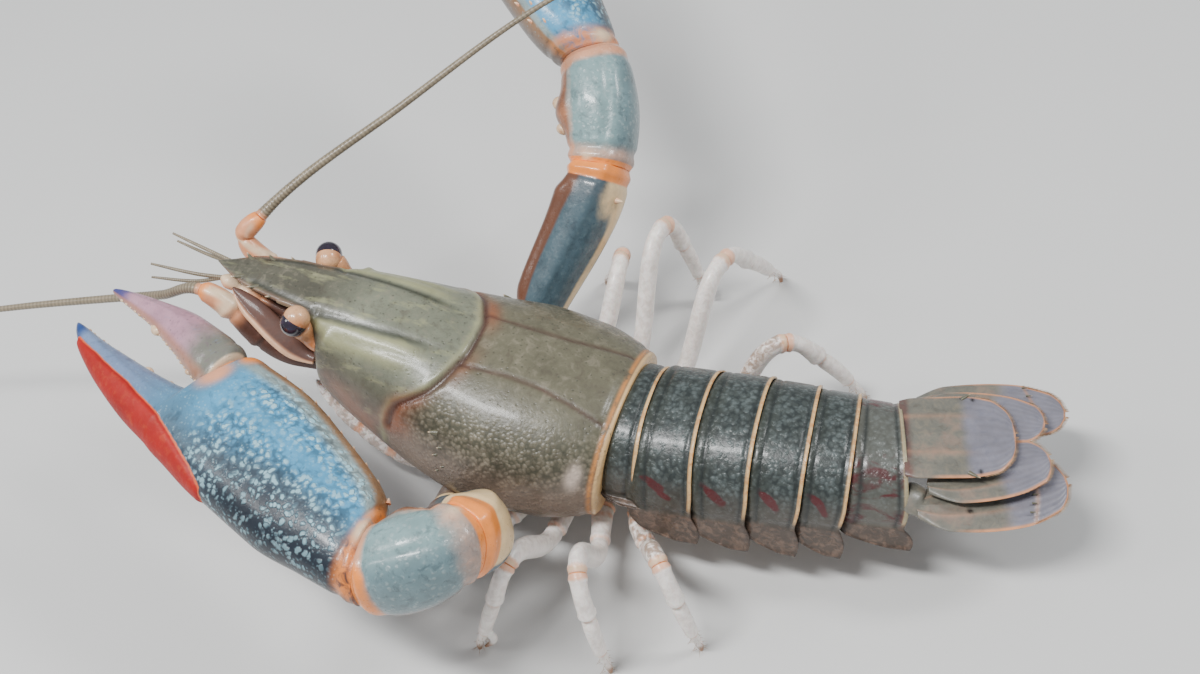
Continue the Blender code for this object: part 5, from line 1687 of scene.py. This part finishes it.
def face_skin():
    """The plates under the beak, between the roots of the feelers, painted dark as shade."""
    points = [on_carapace(72.5, 0, -9.6), on_carapace(80, 0, -8.4), on_carapace(93, 0, -5.2)]
    rows = ((0, 10.0, 4.4), (0.4, 9.0, 3.6), (0.75, 5.4, 2.0), (1, 2.0, 1.0))

    def plates(t, turn):
        # dark: painted shade over the whole face.
        return {"dark": np.ones(len(t)), "relief": 0.3 * np.cos(math.tau * 3 * t) * np.cos(2 * turn)}

    return limb(points, rows, start=FORWARD, up=RISE, along=60, around=60, last=0.1, marks=plates)


def mouth_forms():
    """The folded inner mouth limbs between the thorax and the face, and the two jaws in front of them."""
    points = [(-42, 0, 18.0), (-57, 0, 20.5), (-68, 0, 27.0), (-75, 0, 36.0)]
    rows = ((0, 7.5, 3.0), (0.35, 9.0, 5.4), (0.7, 8.2, 5.4), (1, 5.5, 3.5))

    def folds(t, turn):
        pinch = hump(t, 0.45, 0.02) + hump(t, 0.7, 0.02)
        # dark: red-brown painted partly as shade over the mouth limbs under the head.
        return {"relief": 0.5 * np.cos(9 * turn) * ramp(t, 0.1, 0.3) - 0.4 * pinch,
                "dark": 0.75 + 0.25 * np.cos(9 * turn), "knot": 0.5 * hump(t, 0.6, 0.2)}

    mouth = limb(points, rows, along=100, around=90, square=2.3, first=0.05, last=0.06, marks=folds)
    jaws = [(Vector((-71.5, side * 2.7, 24.6)), (2.6, 2.4, 3.4), Vector((0.6, side * 0.2, 0.8)))
            for side, _ in SIDES]
    return mouth, knobs(jaws, 24)


def maxilliped_skins(side):
    """The leg-like mouth limb under the head, and the short root that joins it to the thorax."""
    points = [(-50, side * 7.0, 8.6), (-62, side * 7.6, 10), (-76, side * 6.2, 18.0), (-84, side * 4.0, 28.0)]
    rows = ((0, 2.6, 2.2), (0.3, 3.0, 2.2), (0.6, 2.2, 1.8), (0.9, 1.4, 1.2), (1, 0.5, 0.4))

    def marks(t, turn):
        return {"relief": -0.35 * (hump(t, 0.36, 0.015) + hump(t, 0.6, 0.015) + hump(t, 0.8, 0.012)),
                "joint": np.clip(hump(t, 0.37, 0.04) + hump(t, 0.61, 0.03), 0, 1),
                "wash": 0.7 * ramp(t, 0.0, 0.3)}

    def root_marks(t, turn):
        return {"joint": 0.6 * ramp(t, 0.7, 0.9), "wash": 0.6 * ramp(t, -1, 0.5),
                "relief": -0.3 * hump(t, 0.55, 0.04)}

    stem = [(-43, side * 5.0, 14.5), (-47, side * 6.6, 11.0), (-51.5, side * 7.1, 8.9)]
    stem_rows = ((0, 3.0, 3.0), (0.5, 3.1, 2.8), (0.9, 3.0, 2.6), (1, 2.6, 2.2))
    return (limb(points, rows, along=90, around=36, first=0.02, last=0.03, marks=marks),
            limb(stem, stem_rows, along=40, around=36, last=0.12, marks=root_marks))


def sternum_forms():
    """The underside of the thorax with a short round coxa for every leg."""
    rows = ((0, 7.0, 2.0), (0.1, 9.5, 3.4), (0.5, 9.0, 3.8), (0.85, 6.5, 3.4), (1, 4.0, 2.0))
    midline = [(2, 0, 13.2), (-30, 0, 13.2), (-62, 0, 16.5)]

    def ribs(t, turn):
        below = np.cos(turn) < 0
        return {"relief": below * (0.5 * np.cos(math.tau * 6.4 * t) - 0.9 * hump(np.sin(turn), 0, 0.12))}

    def root_marks(t, turn):
        return {"joint": ramp(t, 0.86, 0.97), "wash": np.full(len(t), 0.4),
                "relief": 0.3 * hump(t, 0.92, 0.05) - 0.3 * hump(t, 0.7, 0.04)}

    breast = limb(midline, rows, along=120, around=60, square=2.4, first=0.01, last=0.02, marks=ribs)
    coxae = []
    for side, name in SIDES:
        ends = [(CHELIPED_JOINTS[name][0], CLAW_LEAN, 4.8)]
        ends += [(LEG_JOINTS[f"{number}{name}"][0], lean, 2.9) for number, lean in LEG_LEANS]
        for place, lean, radius in ends:
            end = sided(place, side)
            way = coxa_way(side, lean)
            root = end - way * 8.5
            rows = ((0, 0.8 * radius, 0.8 * radius), (0.5, radius, radius), (1, 0.9 * radius, 0.9 * radius))
            coxae.append(limb([root, end - way * GAP / 2], rows, start=way, end=way, along=36, around=32,
                              marks=root_marks))
    return breast, coxae


def joint_balls():
    """Soft skin in the joints of the claws, arms and legs."""
    balls = []
    for side, name in SIDES:
        points, ways, _ = cheliped_joints(name, side)
        for point, way, radius in zip(points, ways, (4.3, 4.6, 7.1, 6.3)):
            balls.append((point, (1.6, radius, radius), way))
        for number, lean in LEG_LEANS:
            hip, knee, foot = [sided(spot, side) for spot in LEG_JOINTS[f"{number}{name}"]]
            knee_way = bend_way(hip, knee, foot)
            balls.append((hip, (0.9, 2.35, 2.35), coxa_way(side, lean)))
            balls.append((knee, (0.9, 1.85, 1.95), knee_way))
        place, _ = claw_frame(name, side)
        balls.append((place @ Vector((62.9, 12.8, 0)), (1.5, 5.0, 4.6), place.to_3x3() @ Vector((1, 0, 0))))
    return knobs(balls, 28)


# Operators.


class PieceOperator(bpy.types.Operator):
    """Shared base of the operators that build pieces."""

    bl_options = {"REGISTER", "UNDO"}

    def execute(self, context):
        self.build()
        return {"FINISHED"}


class CRAYFISH_OT_carapace(PieceOperator):
    """Build the carapace with its beak, grooves and teeth."""

    bl_idname = "crayfish.carapace"
    bl_label = "Carapace"

    def build(self):
        add_piece("carapace_shell", carapace_skin(), carapace_finish, ["carapace"])
        add_piece("carapace_teeth", carapace_teeth(), tooth_finish)


class CRAYFISH_OT_abdomen(PieceOperator):
    """Build the six rings of the abdomen with their side plates, undersides and swimmerets."""

    bl_idname = "crayfish.abdomen"
    bl_label = "Abdomen"

    def build(self):
        frames = tail_frames()
        for number in range(len(PLEOMERES)):
            front, rear = frames[number], frames[number + 1]
            label = number + 1
            add_piece(f"ring_{label}_plate", tergite_skin(number, front, rear), tail_finish,
                      [f"pleomere_{label}"], thickness=PLATE_WALL)
            add_piece(f"ring_{label}_underside", belly_skin(number, front, rear), belly_finish)
            if 1 <= number <= 4:
                for k, form in enumerate(swimmeret_forms(number, front, rear)):
                    add_piece(f"ring_{label}_paddle_{k + 1}", form, leg_finish)


class CRAYFISH_OT_tail_fan(PieceOperator):
    """Build the telson and the four leaves beside it, with their bristles."""

    bl_idname = "crayfish.tail_fan"
    bl_label = "Tail fan"

    def build(self):
        place = tail_frames()[-1]
        middle = ((GAP / 2, 0, -2.2), (TELSON_LENGTH, 0, -2.2), 0, TELSON_ROWS)
        form = leaf_skin(place, *middle, root_mark=0.6, dots=((0.66, -10.2), (0.66, 10.2)))
        add_piece("telson_leaf", form, fan_finish, ["telson"])
        add_piece("telson_bristles", fringe(place, *middle, first=0.68, length=0.8), hair_finish)
        spines = [(place @ Vector((14.0, side * 10.4, -2.0)), place @ Vector((16.4, side * 12.0, -1.8)), 0.6)
                  for side, _ in SIDES]
        ahead = place.to_3x3() @ Vector((1, 0, 0))
        for side, name in SIDES:
            root, out = UROPOD_PLACES[name]
            inner = ((5.2, side * 11.0, -5.4), (UROPOD_LENGTH - 1, side * 4.5, -4.6),
                     side * math.radians(3), INNER_LEAF_ROWS)
            outer = ((root, side * 14.6, -8.4), (root + UROPOD_LENGTH, side * out, -8.0),
                     side * math.radians(8), OUTER_LEAF_ROWS)
            leaves = {"inner": leaf_skin(place, *inner, dots=((0.5, 3.0 * side),)),
                      "outer": leaf_skin(place, *outer, seam=OUTER_SEAM,
                                         dots=((0.33, -2.5 * side), (0.7, 7.0 * side)))}
            for part, form in leaves.items():
                add_piece(f"{part}_leaf_{name}", form, fan_finish, [f"uropod_{part}_{name}"])
            for part, lie, first in (("inner", inner, 0.6), ("outer", outer, 0.7)):
                bristles = fringe(place, *lie, first=first, length=0.9)
                add_piece(f"{part}_bristles_{name}", bristles, hair_finish)
            stalk = limb([place @ Vector((0.5 + GAP, side * 11.6, -7.6)),
                          place @ Vector((root + 2, side * 13.4, -9.0))],
                         ((0, 3.4, 2.0), (0.5, 3.8, 2.2), (1, 3.2, 1.4)), start=ahead, end=ahead,
                         up=place.to_3x3() @ UP, along=40, around=48, first=0.1, last=0.1)
            add_piece(f"fan_stalk_{name}", stalk, fan_finish)
            for k in range(7):
                share = OUTER_SEAM + 0.045 - 0.004 * (k - 3) ** 2
                on_axis = Vector(outer[0]).lerp(Vector(outer[1]), share)
                spot = place @ (on_axis + Vector((0, 2.3 * (k - 3), 0.35)))
                spines.append((spot - ahead * 0.6, spot + ahead * 0.9, 0.25))
        add_piece("fan_spines", spikes(spines, 8), tooth_finish)


class CRAYFISH_OT_claws(PieceOperator):
    """Build both claws with their fingers, teeth and soft red patches."""

    bl_idname = "crayfish.claws"
    bl_label = "Claws"

    def build(self):
        for side, name in SIDES:
            place, wrist_way = claw_frame(name, side)
            add_piece(f"palm_{name}", palm_skin(place, wrist_way, side), palm_finish,
                      [f"cheliped_propodus_{name}"])
            add_piece(f"moving_finger_{name}", dactyl_skin(place), dactyl_finish,
                      [f"cheliped_dactyl_{name}"])
            fixed, moving = finger_teeth(place)
            add_piece(f"fixed_teeth_{name}", fixed, enamel_finish)
            add_piece(f"moving_teeth_{name}", moving, enamel_finish)
            add_piece(f"palm_points_{name}", palm_points(place), point_finish)


class CRAYFISH_OT_arms(PieceOperator):
    """Build the three segments between each claw and the body, and the soft skin in all joints."""

    bl_idname = "crayfish.arms"
    bl_label = "Arms"

    def build(self):
        for side, name in SIDES:
            for part in ARM_ROWS:
                add_piece(f"{part}_{name}", arm_skin(part, name, side), arm_finish,
                          [f"cheliped_{part}_{name}"])
            points, bumps = arm_spines(name, side)
            add_piece(f"arm_spines_{name}", points, point_finish)
            add_piece(f"wrist_knobs_{name}", bumps, enamel_finish)
        add_piece("joint_skin", joint_balls(), membrane_finish)


class CRAYFISH_OT_legs(PieceOperator):
    """Build the eight walking legs and the underside that carries them."""

    bl_idname = "crayfish.legs"
    bl_label = "Legs"

    def build(self):
        for side, name in SIDES:
            for number, _ in LEG_LEANS:
                upper, lower, finger, bristles = leg_skins(number, name, side)
                add_piece(f"leg_{number}_thigh_{name}", upper, leg_finish,
                          [f"leg_{number}_upper_{name}"])
                add_piece(f"leg_{number}_shin_{name}", lower, leg_finish,
                          [f"leg_{number}_lower_{name}"])
                if finger:
                    add_piece(f"leg_{number}_pincer_{name}", finger, leg_finish)
                add_piece(f"leg_{number}_bristles_{name}", bristles, hair_finish)
        breast, coxae = sternum_forms()
        add_piece("breast_plate", breast, belly_finish, ["sternum"])
        for k, form in enumerate(coxae):
            add_piece(f"leg_root_{k + 1}", form, leg_finish)


class CRAYFISH_OT_head(PieceOperator):
    """Build the eyes, feelers and mouth limbs."""

    bl_idname = "crayfish.head"
    bl_label = "Head"

    def build(self):
        add_piece("face", face_skin(), feeler_finish)
        mouth, jaws = mouth_forms()
        add_piece("mouth", mouth, feeler_finish)
        add_piece("jaws", jaws, enamel_finish)
        for side, name in SIDES:
            stalk, eye, bulb = eye_skins(name, side)
            add_piece(f"eye_stem_{name}", stalk, stalk_finish, [f"eyestalk_{name}"])
            add_piece(f"eye_ball_{name}", eye, eye_finish, [f"eye_{name}"])
            add_piece(f"eye_bulb_{name}", bulb, stalk_finish)
            base, scale, whip = antenna_skins(name, side)
            add_piece(f"feeler_base_{name}", base, feeler_finish, [f"antenna_base_{name}"])
            add_piece(f"feeler_scale_{name}", scale, feeler_finish, [f"antenna_scale_{name}"])
            add_piece(f"feeler_whip_{name}", whip, feeler_finish, [f"antenna_flagellum_{name}"])
            stem, *threads = antennule_skins(side)
            add_piece(f"small_feeler_{name}", stem, feeler_finish, [f"antennule_{name}"])
            for k, form in enumerate(threads):
                add_piece(f"small_feeler_thread_{k + 1}_{name}", form, feeler_finish)
            mouth, root = maxilliped_skins(side)
            add_piece(f"mouth_limb_{name}", mouth, leg_finish, [f"maxilliped_{name}"])
            add_piece(f"mouth_limb_root_{name}", root, leg_finish)


class CRAYFISH_OT_stage(bpy.types.Operator):
    """Lay the pale floor, hang the soft lights and set the camera."""

    bl_idname = "crayfish.stage"
    bl_label = "Stage"
    bl_options = {"REGISTER", "UNDO"}

    def execute(self, context):
        studio = context.scene.crayfish_studio
        floor = bmesh.new()
        bmesh.ops.create_grid(floor, x_segments=1, y_segments=1, size=FLOOR_HALF)
        mesh = bpy.data.meshes.new("floor")
        floor.to_mesh(mesh)
        floor.free()
        paper = Finish("floor_finish", 0.6)
        shade = paper.noise(60, 3)
        mesh.materials.append(paper.finish(paper.tone(tuple(studio.floor), 0.98 + 0.04 * shade)))
        sheet = bpy.data.objects.new("floor", mesh)
        context.scene.collection.objects.link(sheet)
        world = bpy.data.worlds.new("room")
        world.use_nodes = True
        background = world.node_tree.nodes["Background"]
        background.inputs["Color"].default_value = ROOM_COLOUR
        background.inputs["Strength"].default_value = studio.sky
        context.scene.world = world
        self.light("key", (-0.17, -0.36, 0.92), 0.9, (0.42, 0.1), studio.key)
        self.light("fill", (0.75, 0.35, 0.9), 1.1, (0.3, 0.2), studio.fill)
        self.light("front", (-0.9, -0.5, 0.9), 1.1, (0.25, 0.2), 0.4 * studio.fill)
        self.camera(context)
        return {"FINISHED"}

    def light(self, name, way, distance, size, watts):
        """Hang one rectangular light that faces the animal, with its long side along X."""
        lamp = bpy.data.lights.new(name, "AREA")
        lamp.shape = "RECTANGLE"
        lamp.size, lamp.size_y = size
        lamp.energy = watts
        holder = bpy.data.objects.new(name, lamp)
        way = Vector(way).normalized()
        side = (Vector((1, 0, 0)) - way * way.x).normalized()
        centre = PLACE @ VIEW_POINT
        holder.matrix_world = Matrix((side, way.cross(side), way)).transposed().to_4x4()
        holder.matrix_world.translation = centre + way * distance
        bpy.context.scene.collection.objects.link(holder)

    def camera(self, context):
        """Set the camera so that the viewed point falls on its own pixel."""
        to_camera = Vector((math.cos(VIEW_HEIGHT) * math.sin(VIEW_BEARING),
                            -math.cos(VIEW_HEIGHT) * math.cos(VIEW_BEARING), math.sin(VIEW_HEIGHT)))
        level = Vector((math.cos(VIEW_BEARING), math.sin(VIEW_BEARING), 0))
        upright = to_camera.cross(level)
        right = level * math.cos(VIEW_ROLL) - upright * math.sin(VIEW_ROLL)
        above = upright * math.cos(VIEW_ROLL) + level * math.sin(VIEW_ROLL)
        pixel = VIEW_DISTANCE * SENSOR / (LENS * PICTURE_SIZE[0])
        off_right = (VIEW_POINT_PIXEL[0] - PICTURE_SIZE[0] / 2) * pixel
        off_up = (PICTURE_SIZE[1] / 2 - VIEW_POINT_PIXEL[1]) * pixel
        spot = VIEW_POINT + to_camera * VIEW_DISTANCE - right * off_right - above * off_up
        lens = bpy.data.cameras.new("camera")
        lens.lens = LENS
        lens.sensor_width = SENSOR
        lens.clip_start = 0.01
        holder = bpy.data.objects.new("camera", lens)
        holder.matrix_world = Matrix((right, above, to_camera)).transposed().to_4x4()
        holder.matrix_world.translation = PLACE @ spot
        context.scene.collection.objects.link(holder)
        context.scene.camera = holder


PIECE_OPERATORS = (CRAYFISH_OT_carapace, CRAYFISH_OT_abdomen, CRAYFISH_OT_tail_fan, CRAYFISH_OT_claws,
                   CRAYFISH_OT_arms, CRAYFISH_OT_legs, CRAYFISH_OT_head, CRAYFISH_OT_stage)


class CRAYFISH_PT_panel(bpy.types.Panel):
    """Buttons for every piece of the crayfish."""

    bl_idname = "CRAYFISH_PT_panel"
    bl_label = "Crayfish"
    bl_space_type = "VIEW_3D"
    bl_region_type = "UI"
    bl_category = "Crayfish"

    def draw(self, context):
        for operator in PIECE_OPERATORS:
            self.layout.operator(operator.bl_idname)
        for group in (context.scene.crayfish_shell, context.scene.crayfish_limbs,
                      context.scene.crayfish_studio):
            box = self.layout.box()
            for name in group.__annotations__:
                box.prop(group, name)


GROUPS = {"crayfish_shell": CrayfishShell, "crayfish_limbs": CrayfishLimbs, "crayfish_studio": CrayfishStudio}


def register():
    """Add the settings, the operators and the panel."""
    for name, group in GROUPS.items():
        bpy.utils.register_class(group)
        setattr(bpy.types.Scene, name, PointerProperty(type=group))
    for operator in PIECE_OPERATORS:
        bpy.utils.register_class(operator)
    bpy.utils.register_class(CRAYFISH_PT_panel)


def unregister():
    """Take the panel, the operators and the settings away."""
    bpy.utils.unregister_class(CRAYFISH_PT_panel)
    for operator in reversed(PIECE_OPERATORS):
        bpy.utils.unregister_class(operator)
    for name, group in GROUPS.items():
        delattr(bpy.types.Scene, name)
        bpy.utils.unregister_class(group)


def main():
    """Build every piece."""
    register()
    for operator in PIECE_OPERATORS:
        group, name = operator.bl_idname.split(".")
        getattr(getattr(bpy.ops, group), name)()


if __name__ == "__main__":
    main()
